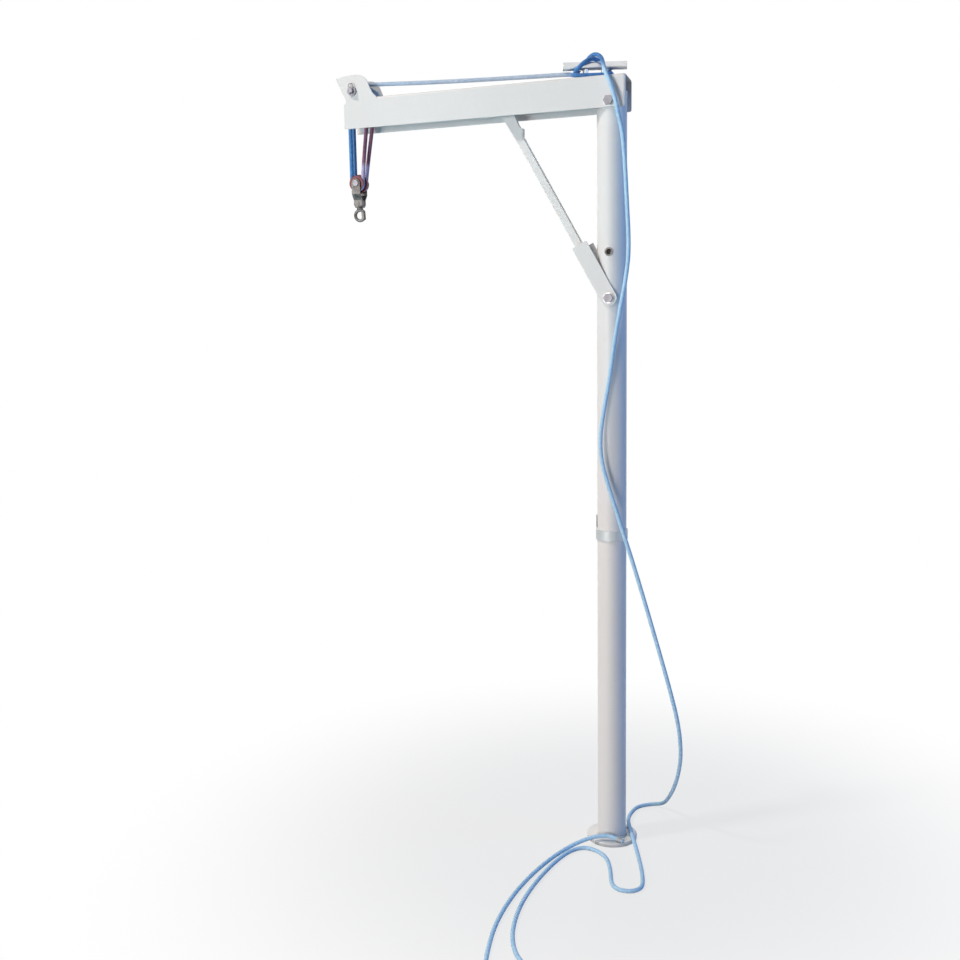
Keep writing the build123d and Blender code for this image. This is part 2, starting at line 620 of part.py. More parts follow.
# Cleat: a tube on two posts, canted across the boom
cant = math.radians(CLEAT_CANT)
cleat_x = (math.cos(cant), math.sin(cant), 0)
cleat_plane = Plane(origin=(CLEAT_X, 0, boom_top), x_dir=cleat_x, z_dir=(0, 0, 1))
cleat_end = Plane(
    origin=cleat_plane.from_local_coords((-CLEAT_LENGTH / 2, 0, CLEAT_HEIGHT)),
    x_dir=cleat_plane.y_dir, z_dir=cleat_x)

with BuildPart() as cleat_tube:
    with BuildSketch(cleat_end.offset(PLUG_FACE)):
        Circle(CLEAT_DIA / 2)
        Circle(CLEAT_DIA / 2 - CLEAT_WALL, mode=Mode.SUBTRACT)
    extrude(amount=CLEAT_LENGTH - 2 * PLUG_FACE)
save(cleat_tube.part, "cleat_tube")

with BuildPart() as cleat_plugs:
    for end, inward in ((cleat_end.offset(PLUG_FACE), 1), (cleat_end.offset(CLEAT_LENGTH - PLUG_FACE), -1)):
        with BuildSketch(end):
            Circle(CLEAT_DIA / 2)
        extrude(amount=-inward * PLUG_FACE)
        with BuildSketch(end):
            Circle(CLEAT_DIA / 2 - CLEAT_WALL - WELD_FIT)
        extrude(amount=inward * PLUG_DEPTH)
save(cleat_plugs.part, "cleat_plugs")

with BuildPart() as cleat_posts:
    with BuildSketch(cleat_plane):
        with Locations((-POST_SPACING / 2, 0), (POST_SPACING / 2, 0)):
            Circle(POST_DIA / 2)
    extrude(amount=CLEAT_HEIGHT)
    with BuildSketch(cleat_end):
        Circle(CLEAT_DIA / 2)
    extrude(amount=CLEAT_LENGTH, mode=Mode.SUBTRACT)
save(cleat_posts.part, "cleat_posts")


# Sheaves
def sheave(x: float, y: float, height: float, pitch: float, bore: float) -> Part:
    """A grooved sheave on an axle along Y; pitch is the radius of the rope's middle."""
    groove = ROPE_DIA / 2 + GROOVE_CLEARANCE
    outer = pitch + SHEAVE_LIP
    middle = Plane(origin=(x, y, height), x_dir=(1, 0, 0), z_dir=(0, -1, 0))
    with BuildPart() as wheel:
        with BuildSketch(middle.offset(-SHEAVE_WIDTH / 2)):
            Circle(outer)
            Circle(bore, mode=Mode.SUBTRACT)
        extrude(amount=SHEAVE_WIDTH)
        with Locations(middle):
            Torus(pitch, groove, mode=Mode.SUBTRACT)
        with BuildSketch(middle.offset(-groove)):
            Circle(2 * outer)
            Circle(pitch, mode=Mode.SUBTRACT)
        extrude(amount=2 * groove, mode=Mode.SUBTRACT)
        fillet(wheel.edges().filter_by(GeomType.CIRCLE).filter_by(
            lambda edge: abs(edge.radius - outer) < WELD_FIT), SHEAVE_EDGE)
    return wheel.part


half_spacing = SHEAVE_SPACING / 2
axle_bore = AXLE_DIA / 2 + RUNNING
save(sheave(-AXLE_OUT, -half_spacing, axle_height, UPPER_PITCH_RADIUS, axle_bore), "upper_sheave_near")
save(sheave(-AXLE_OUT, half_spacing, axle_height, UPPER_PITCH_RADIUS, axle_bore), "upper_sheave_far")
block_bore = BLOCK_AXLE_DIA / 2 + RUNNING
save(sheave(BLOCK_X, -half_spacing, block_height, LOWER_PITCH_RADIUS, block_bore), "lower_sheave_near")
save(sheave(BLOCK_X, half_spacing, block_height, LOWER_PITCH_RADIUS, block_bore), "lower_sheave_far")

# Axle in the horn: head on the far side, washer and ring clip on the near side
axle_near = Plane(origin=(-AXLE_OUT, -channel_outer / 2, axle_height), x_dir=(1, 0, 0), z_dir=(0, -1, 0))
axle_far = Plane(origin=(-AXLE_OUT, channel_outer / 2, axle_height), x_dir=(1, 0, 0), z_dir=(0, 1, 0))
clip_out = AXLE_HEAD + CLIP_WIRE + 2 * APART
with BuildPart() as sheave_axle:
    with BuildSketch(axle_far):
        Circle(AXLE_DIA / 2 + AXLE_HEAD_WALL)
    extrude(amount=AXLE_HEAD)
    fillet(sheave_axle.edges().group_by(Axis.Y)[-1], 0.4 * AXLE_HEAD)
    with BuildSketch(axle_far):
        Circle(AXLE_DIA / 2)
    extrude(amount=-(channel_outer + AXLE_END))
    chamfer(sheave_axle.edges().group_by(Axis.Y)[0], 0.1 * AXLE_DIA)
    with BuildSketch(Plane(origin=axle_near.from_local_coords((0, 0, clip_out)), z_dir=(0.5, 0, 0.866))):
        Circle(CLIP_WIRE / 2 + WELD_FIT)
    extrude(amount=AXLE_DIA, both=True, mode=Mode.SUBTRACT)
save(sheave_axle.part, "sheave_axle")

with BuildPart() as axle_washer:
    with BuildSketch(axle_near):
        Circle(AXLE_DIA / 2 + AXLE_WASHER_WIDTH)
        Circle(AXLE_DIA / 2 + WELD_FIT, mode=Mode.SUBTRACT)
    extrude(amount=AXLE_HEAD)
save(axle_washer.part, "axle_washer")

# Ring clip: a split ring whose leg passes through the axle
with BuildPart() as axle_clip:
    clip_plane = Plane(
        origin=axle_near.from_local_coords((0, 0, clip_out)), x_dir=(0.5, 0, 0.866), z_dir=(0, -1, 0))
    with BuildLine(clip_plane) as clip_path:
        Line((-CLIP_LEG, 0), (CLIP_LEG, 0))
        RadiusArc((CLIP_LEG, 0), (CLIP_LEG + CLIP_BEND, CLIP_BEND), -CLIP_BEND)
        RadiusArc((CLIP_LEG + CLIP_BEND, CLIP_BEND), (CLIP_LEG - 2.0, CLIP_BEND + 2.0), -CLIP_RETURN)
    with BuildSketch(Plane(origin=clip_path.line @ 0, z_dir=clip_path.line % 0)):
        Circle(CLIP_WIRE / 2)
    sweep()
save(axle_clip.part, "axle_clip")

spacer_start = half_spacing + SHEAVE_WIDTH / 2 + APART
with BuildPart() as axle_spacers:
    for start, length in (
            (-CHANNEL_INNER / 2, CHANNEL_INNER / 2 - spacer_start),
            (spacer_start, CHANNEL_INNER / 2 - spacer_start),
            (APART - (half_spacing - SHEAVE_WIDTH / 2), SHEAVE_SPACING - SHEAVE_WIDTH - 2 * APART)):
        with BuildSketch(Plane(origin=(-AXLE_OUT, start, axle_height), z_dir=(0, 1, 0))):
            Circle(AXLE_DIA / 2 + SPACER_WALL)
            Circle(AXLE_DIA / 2 + WELD_FIT, mode=Mode.SUBTRACT)
        extrude(amount=length)
save(axle_spacers.part, "axle_spacers")

# Hook block: two straps, a divider between the sheaves, an axle, and a crosshead for the swivel
crosshead_height = block_height - CROSSHEAD_DROP
strap_top = STRAP_WIDTH / 2
shoulder = LOWER_PITCH_RADIUS + ROPE_DIA / 2 + STRAP_SHOULDER
strap_line = [
    (STRAP_GAP / 2, strap_top), (STRAP_GAP / 2, -shoulder),
    (CROSSHEAD_WIDTH / 2, -CROSSHEAD_DROP + CROSSHEAD_HEIGHT / 2 + 1.0),
    (CROSSHEAD_WIDTH / 2, -CROSSHEAD_DROP - CROSSHEAD_HEIGHT / 2 + 1.0)]
strap_plane = Plane(origin=(BLOCK_X - STRAP_WIDTH / 2, 0, block_height), x_dir=(0, 1, 0), z_dir=(1, 0, 0))
with BuildPart() as block_straps:
    for side in (-1, 1):
        with BuildSketch(strap_plane):
            with BuildLine():
                inner = [(side * y, z) for y, z in strap_line]
                outer = [(side * (y + STRAP_THICKNESS), z - (0.5 if 0 < i < 3 else 0.0))
                         for i, (y, z) in enumerate(strap_line)]
                Polyline(*inner, *reversed(outer), close=True)
            make_face()
        extrude(amount=STRAP_WIDTH)
    with Locations((BLOCK_X, 0, block_height)):
        Cylinder(BLOCK_AXLE_DIA / 2 + WELD_FIT, 2 * STRAP_GAP, rotation=(90, 0, 0), mode=Mode.SUBTRACT)
    with Locations((BLOCK_X, 0, crosshead_height)):
        Cylinder(TRUNNION_DIA / 2 + WELD_FIT, 2 * STRAP_GAP, rotation=(90, 0, 0), mode=Mode.SUBTRACT)
    fillet(block_straps.edges().filter_by(Axis.Y).group_by(Axis.Z)[-1], STRAP_WIDTH / 2 - 0.5)
    fillet(block_straps.edges().filter_by(Axis.Y).group_by(Axis.Z)[0], STRAP_FOOT_ROUND)
save(block_straps.part, "block_straps")

divider_half = half_spacing - SHEAVE_WIDTH / 2 - APART
divider_radius = LOWER_PITCH_RADIUS + DIVIDER_LIP
with BuildPart() as block_divider:
    with BuildSketch(Plane(origin=(BLOCK_X, -divider_half, block_height), x_dir=(1, 0, 0), z_dir=(0, -1, 0))):
        Circle(divider_radius)
        Circle(BLOCK_AXLE_DIA / 2 + WELD_FIT, mode=Mode.SUBTRACT)
    extrude(amount=-2 * divider_half)
    fillet(block_divider.edges().filter_by(GeomType.CIRCLE).filter_by(
        lambda edge: abs(edge.radius - divider_radius) < WELD_FIT), DIVIDER_EDGE)
save(block_divider.part, "block_divider")

strap_face = STRAP_GAP / 2 + STRAP_THICKNESS
with BuildPart() as block_axle:
    with BuildSketch(Plane(origin=(BLOCK_X, -strap_face, block_height), z_dir=(0, -1, 0))):
        Circle(BLOCK_AXLE_DIA / 2 + BLOCK_AXLE_HEAD)
    extrude(amount=BLOCK_AXLE_HEAD)
    fillet(block_axle.edges().group_by(Axis.Y)[0], 0.6 * BLOCK_AXLE_HEAD)
    with BuildSketch(Plane(origin=(BLOCK_X, -strap_face, block_height), z_dir=(0, 1, 0))):
        Circle(BLOCK_AXLE_DIA / 2)
    extrude(amount=2 * strap_face + BLOCK_AXLE_END)
save(block_axle.part, "block_axle")

with BuildPart() as block_axle_ring:
    with BuildSketch(Plane(origin=(BLOCK_X, strap_face, block_height), z_dir=(0, 1, 0))):
        Circle(BLOCK_AXLE_DIA / 2 + BLOCK_AXLE_HEAD)
        Circle(BLOCK_AXLE_DIA / 2 + WELD_FIT, mode=Mode.SUBTRACT)
    extrude(amount=BLOCK_RING)
save(block_axle_ring.part, "block_axle_ring")

shank_bore = SHANK_DIA / 2 + RUNNING
with BuildPart() as crosshead:
    with Locations((BLOCK_X, 0, crosshead_height)):
        Box(STRAP_WIDTH - 2.0, CROSSHEAD_WIDTH, CROSSHEAD_HEIGHT)
        Cylinder(
            TRUNNION_DIA / 2, CROSSHEAD_WIDTH + 2 * (STRAP_THICKNESS + TRUNNION_OUT), rotation=(90, 0, 0))
        Cylinder(shank_bore, 2 * CROSSHEAD_HEIGHT, mode=Mode.SUBTRACT)
save(crosshead.part, "crosshead")

# Swivel hook: its shank turns in the crosshead, held by a collar below and a nut above
collar_top = crosshead_height - CROSSHEAD_HEIGHT / 2 - SEAT
shank_top = crosshead_height + CROSSHEAD_HEIGHT / 2 + SEAT + COLLAR_HEIGHT
hook_center = collar_top - COLLAR_HEIGHT - HOOK_RADIUS - HOOK_NECK
hook_plane = Plane(origin=(BLOCK_X, 0, hook_center), x_dir=(1, 0, 0), z_dir=(0, -1, 0))


def on_hook(angle: float) -> tuple:
    """A point of the hook's middle line, in its own plane."""
    return (HOOK_RADIUS * math.cos(math.radians(angle)), HOOK_RADIUS * math.sin(math.radians(angle)))


with BuildPart() as swivel_hook:
    with BuildSketch(Plane.XY.offset(collar_top)):
        with Locations((BLOCK_X, 0)):
            Circle(COLLAR_DIA / 2)
    extrude(amount=-COLLAR_HEIGHT)
    with BuildSketch(Plane.XY.offset(collar_top)):
        with Locations((BLOCK_X, 0)):
            Circle(SHANK_DIA / 2)
    extrude(amount=shank_top - collar_top)
    with BuildLine(hook_plane) as hook_path:
        CenterArc((0, 0), HOOK_RADIUS, LUG_ANGLE, 360.0 + TIP_ANGLE - LUG_ANGLE)
    with BuildSketch(Plane(origin=hook_path.line @ 0, z_dir=hook_path.line % 0)):
        Circle(HOOK_WIRE / 2)
    sweep()
    with Locations(hook_plane):
        with Locations(on_hook(GATE_ANGLE)):
            Cylinder(GATE_PIN_DIA / 2 + WELD_FIT, 4 * HOOK_WIRE, mode=Mode.SUBTRACT)
save(swivel_hook.part, "swivel_hook")

with BuildPart() as swivel_nut:
    with BuildSketch(Plane.XY.offset(shank_top - COLLAR_HEIGHT)):
        with Locations((BLOCK_X, 0)):
            Circle(SWIVEL_NUT_DIA / 2)
            Circle(SHANK_DIA / 2 + WELD_FIT, mode=Mode.SUBTRACT)
    extrude(amount=COLLAR_HEIGHT)
save(swivel_nut.part, "swivel_nut")

# Gate: two cheeks astride the hook's wire, joined by a bar that closes its mouth
gate_inner = HOOK_WIRE / 2 + APART
gate_start = on_hook(GATE_ANGLE)
gate_end = on_hook(TIP_ANGLE - TIP_LAP)
gate_length = math.dist(gate_start, gate_end)
gate_frame = Plane(
    origin=hook_plane.from_local_coords((gate_start[0], gate_start[1], 0)),
    x_dir=hook_plane.from_local_coords((gate_end[0], gate_end[1], 0))
    - hook_plane.from_local_coords((gate_start[0], gate_start[1], 0)),
    z_dir=(0, -1, 0))
with BuildPart() as hook_gate:
    for offset in (-gate_inner - GATE_SHEET, gate_inner):
        with BuildSketch(gate_frame.offset(offset)):
            with Locations((gate_length / 2, 0)):
                SlotCenterToCenter(gate_length, GATE_CHEEK)
            Circle(GATE_PIN_DIA / 2 + RUNNING, mode=Mode.SUBTRACT)
        extrude(amount=GATE_SHEET)
    with BuildSketch(gate_frame.offset(-gate_inner)):
        with Locations((gate_length / 2, 0)):
            RectangleRounded(*GATE_BAR, GATE_BAR_EDGE)
    extrude(amount=2 * gate_inner)
save(hook_gate.part, "hook_gate")

gate_pin_half = gate_inner + GATE_SHEET + GATE_PIN_OUT
with BuildPart() as gate_pin:
    with BuildSketch(gate_frame.offset(-gate_pin_half)):
        Circle(GATE_PIN_DIA / 2)
    extrude(amount=2 * gate_pin_half)
save(gate_pin.part, "gate_pin")


# Rope
def bend_radii(points: list) -> list:
    """The largest arc that each corner of a route leaves room for."""
    radii = []
    for before, corner, after in zip(points, points[1:], points[2:]):
        come = Vector(*corner) - Vector(*before)
        go = Vector(*after) - Vector(*corner)
        half_turn = math.radians(come.get_angle(go)) / 2
        radii.append(BEND_SHARE * min(come.length, go.length) / math.tan(half_turn))
    return radii


def sheave_radii(points: list) -> list:
    """The sheave's own radius at each right angle of a route, and short easy arcs between."""
    radii = []
    for before, corner, after in zip(points, points[1:], points[2:]):
        come = Vector(*corner) - Vector(*before)
        go = Vector(*after) - Vector(*corner)
        half_turn = math.radians(come.get_angle(go)) / 2
        pitch = UPPER_PITCH_RADIUS if corner[2] > axle_height else LOWER_PITCH_RADIUS
        radii.append(pitch - 0.05 if half_turn > math.pi / 6 else 5.0 / math.tan(half_turn))
    return radii


def past(start: tuple, towards: tuple) -> tuple:
    """A point a small gap beyond the end of the rope before."""
    way = (Vector(*towards) - Vector(*start)).normalized()
    return tuple(Vector(*start) + way * APART)


def rope(name: str, points: list, radii: list = None):
    """A round rope along a route of straight runs joined by tangent arcs."""
    radii = radii or bend_radii(points)
    with BuildPart() as strand:
        with BuildLine() as route:
            FilletPolyline(*points, radius=radii)
        with BuildSketch(Plane(origin=route.line @ 0, z_dir=route.line % 0)):
            Circle(ROPE_DIA / 2)
        sweep()
    length = route.wire().length
    share = strand.part.volume / (math.pi * (ROPE_DIA / 2) ** 2 * length)
    print(name, "length", round(length, 1), "tightest", round(min(radii), 1), "volume share", round(share, 4))
    save(strand.part, name)


upper_left = -AXLE_OUT - UPPER_PITCH_RADIUS
upper_right = -AXLE_OUT + UPPER_PITCH_RADIUS
upper_top = axle_height + UPPER_PITCH_RADIUS
lower_left = BLOCK_X - LOWER_PITCH_RADIUS
lower_right = BLOCK_X + LOWER_PITCH_RADIUS
lower_foot = block_height - LOWER_PITCH_RADIUS
upper_entry = axle_height - UPPER_PITCH_RADIUS
lower_entry = block_height + LOWER_PITCH_RADIUS + LEAD_DROP * 2
falls_route = [
    (upper_left, -half_spacing, axle_height), (lower_left, -half_spacing, lower_entry),
    (lower_left, -half_spacing, lower_foot), (lower_right, -half_spacing, lower_foot),
    (lower_right, -half_spacing, lower_entry), (upper_right, half_spacing, upper_entry),
    (upper_right, half_spacing, upper_top), (upper_left, half_spacing, upper_top),
    (upper_left, half_spacing, upper_entry), (lower_left, half_spacing, lower_entry),
    (lower_left, half_spacing, lower_foot), (lower_right, half_spacing, lower_foot),
    (lower_right, half_spacing, lower_entry), (-DEAD_END_OUT, half_spacing, boom_top - LEAD_DROP)]
rope("rope_falls", falls_route, sheave_radii(falls_route))



def on_boom(point: tuple) -> tuple:
    """A point given by its height above the boom's top."""
    return (point[0], point[1], boom_top + point[2])


def hung(points: list) -> list:
    """The points of a route, those above the deck lifted with the pivot."""
    lift = PIVOT_HEIGHT / LAID_PIVOT_HEIGHT
    return [(x, y, z * (lift if z > LAID_ON_DECK else 1.0)) for x, y, z in points]


def in_cleat_plane(point: tuple) -> tuple:
    """A point given in the cleat's own plane."""
    return tuple(cleat_plane.from_local_coords(point))


lead_route = [
    (upper_left, -half_spacing, axle_height + APART), (upper_left, -half_spacing, upper_top + LEAD_DROP),
    on_boom(LEAD_SAG), on_boom(LEAD_END)]
lead_radii = bend_radii(lead_route)
rope("rope_lead", lead_route, [lead_radii[0] * LEAD_WRAP / BEND_SHARE, lead_radii[1]])

cleat_points = [on_boom(LEAD_END), on_boom(CLEAT_ENTRY)]
cleat_points += [in_cleat_plane(point) for point in CLEAT_TURNS]
rope("rope_cleat_turns", cleat_points)

over_edge = in_cleat_plane(OVER_EDGE)
rope("rope_tail_upper", [past(cleat_points[-1], over_edge), over_edge] + hung(TAIL_UPPER))

# The coil touches the two strands that come out of it, one on each side
coil_side = COIL_RADIUS + COIL_WIDTH / 2 + ROPE_DIA / 2 + WELD_FIT
on_deck = TAIL_LOWER[-1][2]
tail_route = hung(TAIL_LOWER)
rope("rope_tail_lower", [
    past(hung(TAIL_UPPER)[-1], tail_route[0])] + tail_route + [(COIL_X + coil_side, COIL_Y, on_deck)])
rope("rope_end", [(COIL_X - coil_side, COIL_Y, on_deck)] + ROPE_END)

with BuildPart() as rope_coil:
    with BuildSketch():
        with Locations((COIL_X, COIL_Y)):
            Circle(COIL_RADIUS + COIL_WIDTH / 2)
            Circle(COIL_RADIUS - COIL_WIDTH / 2, mode=Mode.SUBTRACT)
    extrude(amount=COIL_HEIGHT)
    fillet(rope_coil.edges(), COIL_EDGE)
save(rope_coil.part, "rope_coil")

with BuildPart() as dead_end_knot:
    with Locations((-DEAD_END_OUT, half_spacing, boom_top + KNOT_RADIUS - KNOT_SUNK)):
        Sphere(KNOT_RADIUS)
    with Locations((-DEAD_END_OUT, half_spacing, boom_top)):
        Box(4 * KNOT_RADIUS, 4 * KNOT_RADIUS, 8 * KNOT_RADIUS,
            align=(Align.CENTER, Align.CENTER, Align.MAX), mode=Mode.SUBTRACT)
save(dead_end_knot.part, "dead_end_knot")
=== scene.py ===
"""Looks of an outboard motor lifting davit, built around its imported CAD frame."""

import json
import logging
import math
from dataclasses import dataclass, field, replace
from enum import Enum

import bpy
import numpy as np
from mathutils import Matrix, Vector


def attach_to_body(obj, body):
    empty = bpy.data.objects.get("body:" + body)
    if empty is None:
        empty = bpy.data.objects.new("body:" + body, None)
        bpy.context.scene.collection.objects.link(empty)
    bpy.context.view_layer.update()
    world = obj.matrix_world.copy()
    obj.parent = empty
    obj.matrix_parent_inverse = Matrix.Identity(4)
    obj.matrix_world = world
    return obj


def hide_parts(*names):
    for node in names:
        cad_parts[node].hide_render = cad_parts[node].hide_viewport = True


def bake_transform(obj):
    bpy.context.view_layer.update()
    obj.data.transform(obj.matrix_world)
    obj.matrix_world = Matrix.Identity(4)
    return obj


LOG = logging.getLogger("davit")
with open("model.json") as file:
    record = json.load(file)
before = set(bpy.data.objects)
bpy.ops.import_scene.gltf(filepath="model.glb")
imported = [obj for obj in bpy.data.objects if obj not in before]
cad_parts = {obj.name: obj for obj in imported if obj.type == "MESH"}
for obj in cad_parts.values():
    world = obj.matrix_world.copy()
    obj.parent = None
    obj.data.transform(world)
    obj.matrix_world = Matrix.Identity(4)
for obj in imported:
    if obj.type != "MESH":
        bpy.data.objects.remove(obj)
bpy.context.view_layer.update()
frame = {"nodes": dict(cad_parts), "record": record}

ROPE_DIA = 0.008
MM = 0.001
SAME_POINT = 1e-9


def joint_places() -> dict:
    """Where the record's joints stand.

    Returns:
        Each joint's place in millimetres, by its name.
    """
    joints = frame["record"]["behaviour"]["joints"]
    return {joint["name"]: tuple(value / MM for value in joint["pos_m"])
            for joint in joints if "pos_m" in joint}


JOINTS = joint_places()


@dataclass(frozen=True)
class Sizes:
    """Sizes that several sub-assemblies share, in millimetres."""

    pivot_height: float = JOINTS["boom_raise"][2]
    brace_height: float = JOINTS["brace_swing"][2]
    boom_top: float = 1505.3
    cleat_x: float = -33.0
    cleat_cant: float = 16.0


SIZES = Sizes()


class Slot(Enum):
    """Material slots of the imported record."""

    PAINT = "paint"
    STEEL = "steel"
    BLACK = "black_plastic"
    NYLON = "nylon"
    SHEAVE = "sheave"
    ROPE = "rope_blue"


class Lay(Enum):
    """How a stretch of the rope lies."""

    TAUT = "taut"
    HANGING = "hanging"
    LOOSE = "loose"
    COILED = "coiled"


class FarEnd(Enum):
    """What the far end of a stretch does."""

    OBJECT = "object"
    KNOT = "knot"
    BARE = "bare"


class RopeLitShadedTone(Enum):
    """Lit and shaded copies of the one blue rope's colour, painted light and shade, from the light yarn to
    the dark one.
    """

    # SKY is the rope's blue painted as sunlit, DEEP and PLUM are it painted as shaded, PALE and LILAC are
    # paler painted tones.
    SKY = ((0.64, 0.85, 0.96), (0.17, 0.44, 0.75))
    DEEP = ((0.10, 0.36, 0.74), (0.015, 0.07, 0.27))
    PALE = ((0.70, 0.80, 0.87), (0.26, 0.38, 0.58))
    PLUM = ((0.27, 0.12, 0.20), (0.13, 0.03, 0.06))
    LILAC = ((0.62, 0.58, 0.78), (0.30, 0.24, 0.46))


# Node helpers


def add_node(tree: bpy.types.NodeTree, kind: str, inputs: dict | None = None,
             **values: object) -> bpy.types.Node:
    """Adds a node.

    Args:
        tree: The tree that gets it.
        kind: Its Blender type name.
        inputs: Values or sockets for its inputs, by name or number.
        values: Settings of the node itself.

    Returns:
        The new node.
    """
    node = tree.nodes.new(kind)
    for name, value in values.items():
        setattr(node, name, value)
    for name, value in (inputs or {}).items():
        if isinstance(value, bpy.types.NodeSocket):
            tree.links.new(value, node.inputs[name])
        else:
            node.inputs[name].default_value = value
    return node


def math_node(tree: bpy.types.NodeTree, operation: str, *terms: object) -> bpy.types.NodeSocket:
    """The output of a Math node with these terms."""
    return add_node(tree, "ShaderNodeMath", dict(enumerate(terms)), operation=operation).outputs[0]


def mix_colours(tree: bpy.types.NodeTree, factor: object, first: object,
                second: object) -> bpy.types.NodeSocket:
    """The output of a colour Mix node; the factor and either colour may be a socket."""
    node = add_node(tree, "ShaderNodeMix", {0: factor, 6: first, 7: second}, data_type="RGBA")
    return node.outputs[2]


def new_group(name: str, inputs: dict, outputs: dict) -> tuple:
    """Starts a shader node group.

    Args:
        name: The group's name.
        inputs: Socket type and default value by input name.
        outputs: Socket type by output name.

    Returns:
        The group, its input node and its output node.
    """
    group = bpy.data.node_groups.new(name, "ShaderNodeTree")
    for label, (kind, value) in inputs.items():
        group.interface.new_socket(label, in_out="INPUT", socket_type=kind).default_value = value
    for label, kind in outputs.items():
        group.interface.new_socket(label, in_out="OUTPUT", socket_type=kind)
    return group, group.nodes.new("NodeGroupInput"), group.nodes.new("NodeGroupOutput")


FLOAT, COLOUR = "NodeSocketFloat", "NodeSocketColor"


def make_weather_group() -> bpy.types.NodeTree:
    """Group that varies a colour in soft patches with fine dust, and gives a roughness and a height.

    Returns:
        The new node group.
    """
    group, source, sink = new_group(
        "weather",
        {"Light": (COLOUR, (0.8, 0.8, 0.8, 1)), "Dark": (COLOUR, (0.5, 0.5, 0.5, 1)),
         "Patch Scale": (FLOAT, 6.0), "Grain Scale": (FLOAT, 400.0), "Amount": (FLOAT, 0.4),
         "Roughness": (FLOAT, 0.4), "Roughness Spread": (FLOAT, 0.1)},
        {"Colour": COLOUR, "Roughness": FLOAT, "Height": FLOAT})
    patch_edge, patch_contrast, dust = 0.45, 4.0, 0.12
    place = add_node(group, "ShaderNodeTexCoord").outputs["Object"]
    patch = add_node(group, "ShaderNodeTexNoise", {
        "Vector": place, "Scale": source.outputs["Patch Scale"], "Detail": 5.0, "Roughness": 0.62})
    grain = add_node(group, "ShaderNodeTexNoise", {
        "Vector": place, "Scale": source.outputs["Grain Scale"], "Detail": 2.0, "Roughness": 0.5})
    gain = math_node(group, "MULTIPLY", source.outputs["Amount"], patch_contrast)
    above = math_node(group, "SUBTRACT", patch.outputs[0], patch_edge)
    mask = add_node(group, "ShaderNodeClamp", {0: math_node(group, "MULTIPLY", above, gain)}).outputs[0]
    speck = math_node(group, "MULTIPLY", math_node(group, "SUBTRACT", grain.outputs[0], 0.5), dust)
    shade = mix_colours(group, mask, source.outputs["Light"], source.outputs["Dark"])
    tint = add_node(group, "ShaderNodeVectorMath", {
        0: shade, "Scale": math_node(group, "ADD", 1.0, speck)}, operation="SCALE")
    group.links.new(tint.outputs[0], sink.inputs["Colour"])
    spread = math_node(group, "MULTIPLY", patch.outputs[0], source.outputs["Roughness Spread"])
    group.links.new(math_node(group, "ADD", source.outputs["Roughness"], spread), sink.inputs["Roughness"])
    group.links.new(grain.outputs[0], sink.inputs["Height"])
    return group


def make_braid_group() -> bpy.types.NodeTree:
    """Group that draws a braided cover from a rope's UV map: u once round, v in diameters along; the dark
    colour is painted into the grooves between strands as shade, broken up by flecks.

    Returns:
        The new node group.
    """
    group, source, sink = new_group(
        "braid",
        {"Light": (COLOUR, (0.4, 0.6, 0.9, 1)), "Dark": (COLOUR, (0.1, 0.2, 0.5, 1)),
         "Strands": (FLOAT, 8.0), "Pitch": (FLOAT, 0.55), "Groove Shade And Fleck": (FLOAT, 0.5)},
        {"Colour": COLOUR, "Height": FLOAT})
    fleck_scale, fleck_gain = 190.0, 2.0
    unwrapped = add_node(group, "ShaderNodeTexCoord").outputs["UV"]
    split = add_node(group, "ShaderNodeSeparateXYZ", {0: unwrapped})
    around = math_node(group, "MULTIPLY", split.outputs[0], source.outputs["Strands"])
    along = math_node(group, "DIVIDE", split.outputs[1], source.outputs["Pitch"])
    right = math_node(group, "FRACT", math_node(group, "ADD", around, along))
    left = math_node(group, "FRACT", math_node(group, "SUBTRACT", around, along))
    ridge_right = math_node(group, "SINE", math_node(group, "MULTIPLY", right, math.pi))
    ridge_left = math_node(group, "SINE", math_node(group, "MULTIPLY", left, math.pi))
    height = math_node(group, "MAXIMUM", ridge_right, ridge_left)
    place = add_node(group, "ShaderNodeTexCoord").outputs["Object"]
    fleck = add_node(group, "ShaderNodeTexNoise", {"Vector": place, "Scale": fleck_scale, "Detail": 3.0})
    # Painted shade: the dark colour goes into the grooves between strands, where the fleck noise lets it.
    groove_shade = math_node(group, "SUBTRACT", 1.0, math_node(group, "MULTIPLY", ridge_right, ridge_left))
    strength = math_node(group, "MULTIPLY", source.outputs["Groove Shade And Fleck"], fleck_gain)
    flecks = math_node(group, "MULTIPLY", fleck.outputs[0], strength)
    mask = add_node(group, "ShaderNodeClamp", {0: math_node(group, "MULTIPLY", groove_shade, flecks)}).outputs[0]
    group.links.new(mix_colours(
        group, mask, source.outputs["Light"], source.outputs["Dark"]), sink.inputs["Colour"])
    group.links.new(height, sink.inputs["Height"])
    return group


def make_fade_group() -> bpy.types.NodeTree:
    """Group that gives 0 to 1 as the place along one direction goes from Start to End.

    Returns:
        The new node group.
    """
    group, source, sink = new_group(
        "fade", {"Direction": ("NodeSocketVector", (1, 0, 0)), "Start": (FLOAT, 0.0), "End": (FLOAT, 1.0)},
        {"Mask": FLOAT})
    place = add_node(group, "ShaderNodeTexCoord").outputs["Object"]
    reach = add_node(group, "ShaderNodeVectorMath", {
        0: place, 1: source.outputs["Direction"]}, operation="DOT_PRODUCT").outputs["Value"]
    ramp = add_node(group, "ShaderNodeMapRange", {
        0: reach, 1: source.outputs["Start"], 2: source.outputs["End"]}, interpolation_type="SMOOTHSTEP")
    group.links.new(ramp.outputs[0], sink.inputs["Mask"])
    return group


# Finishes


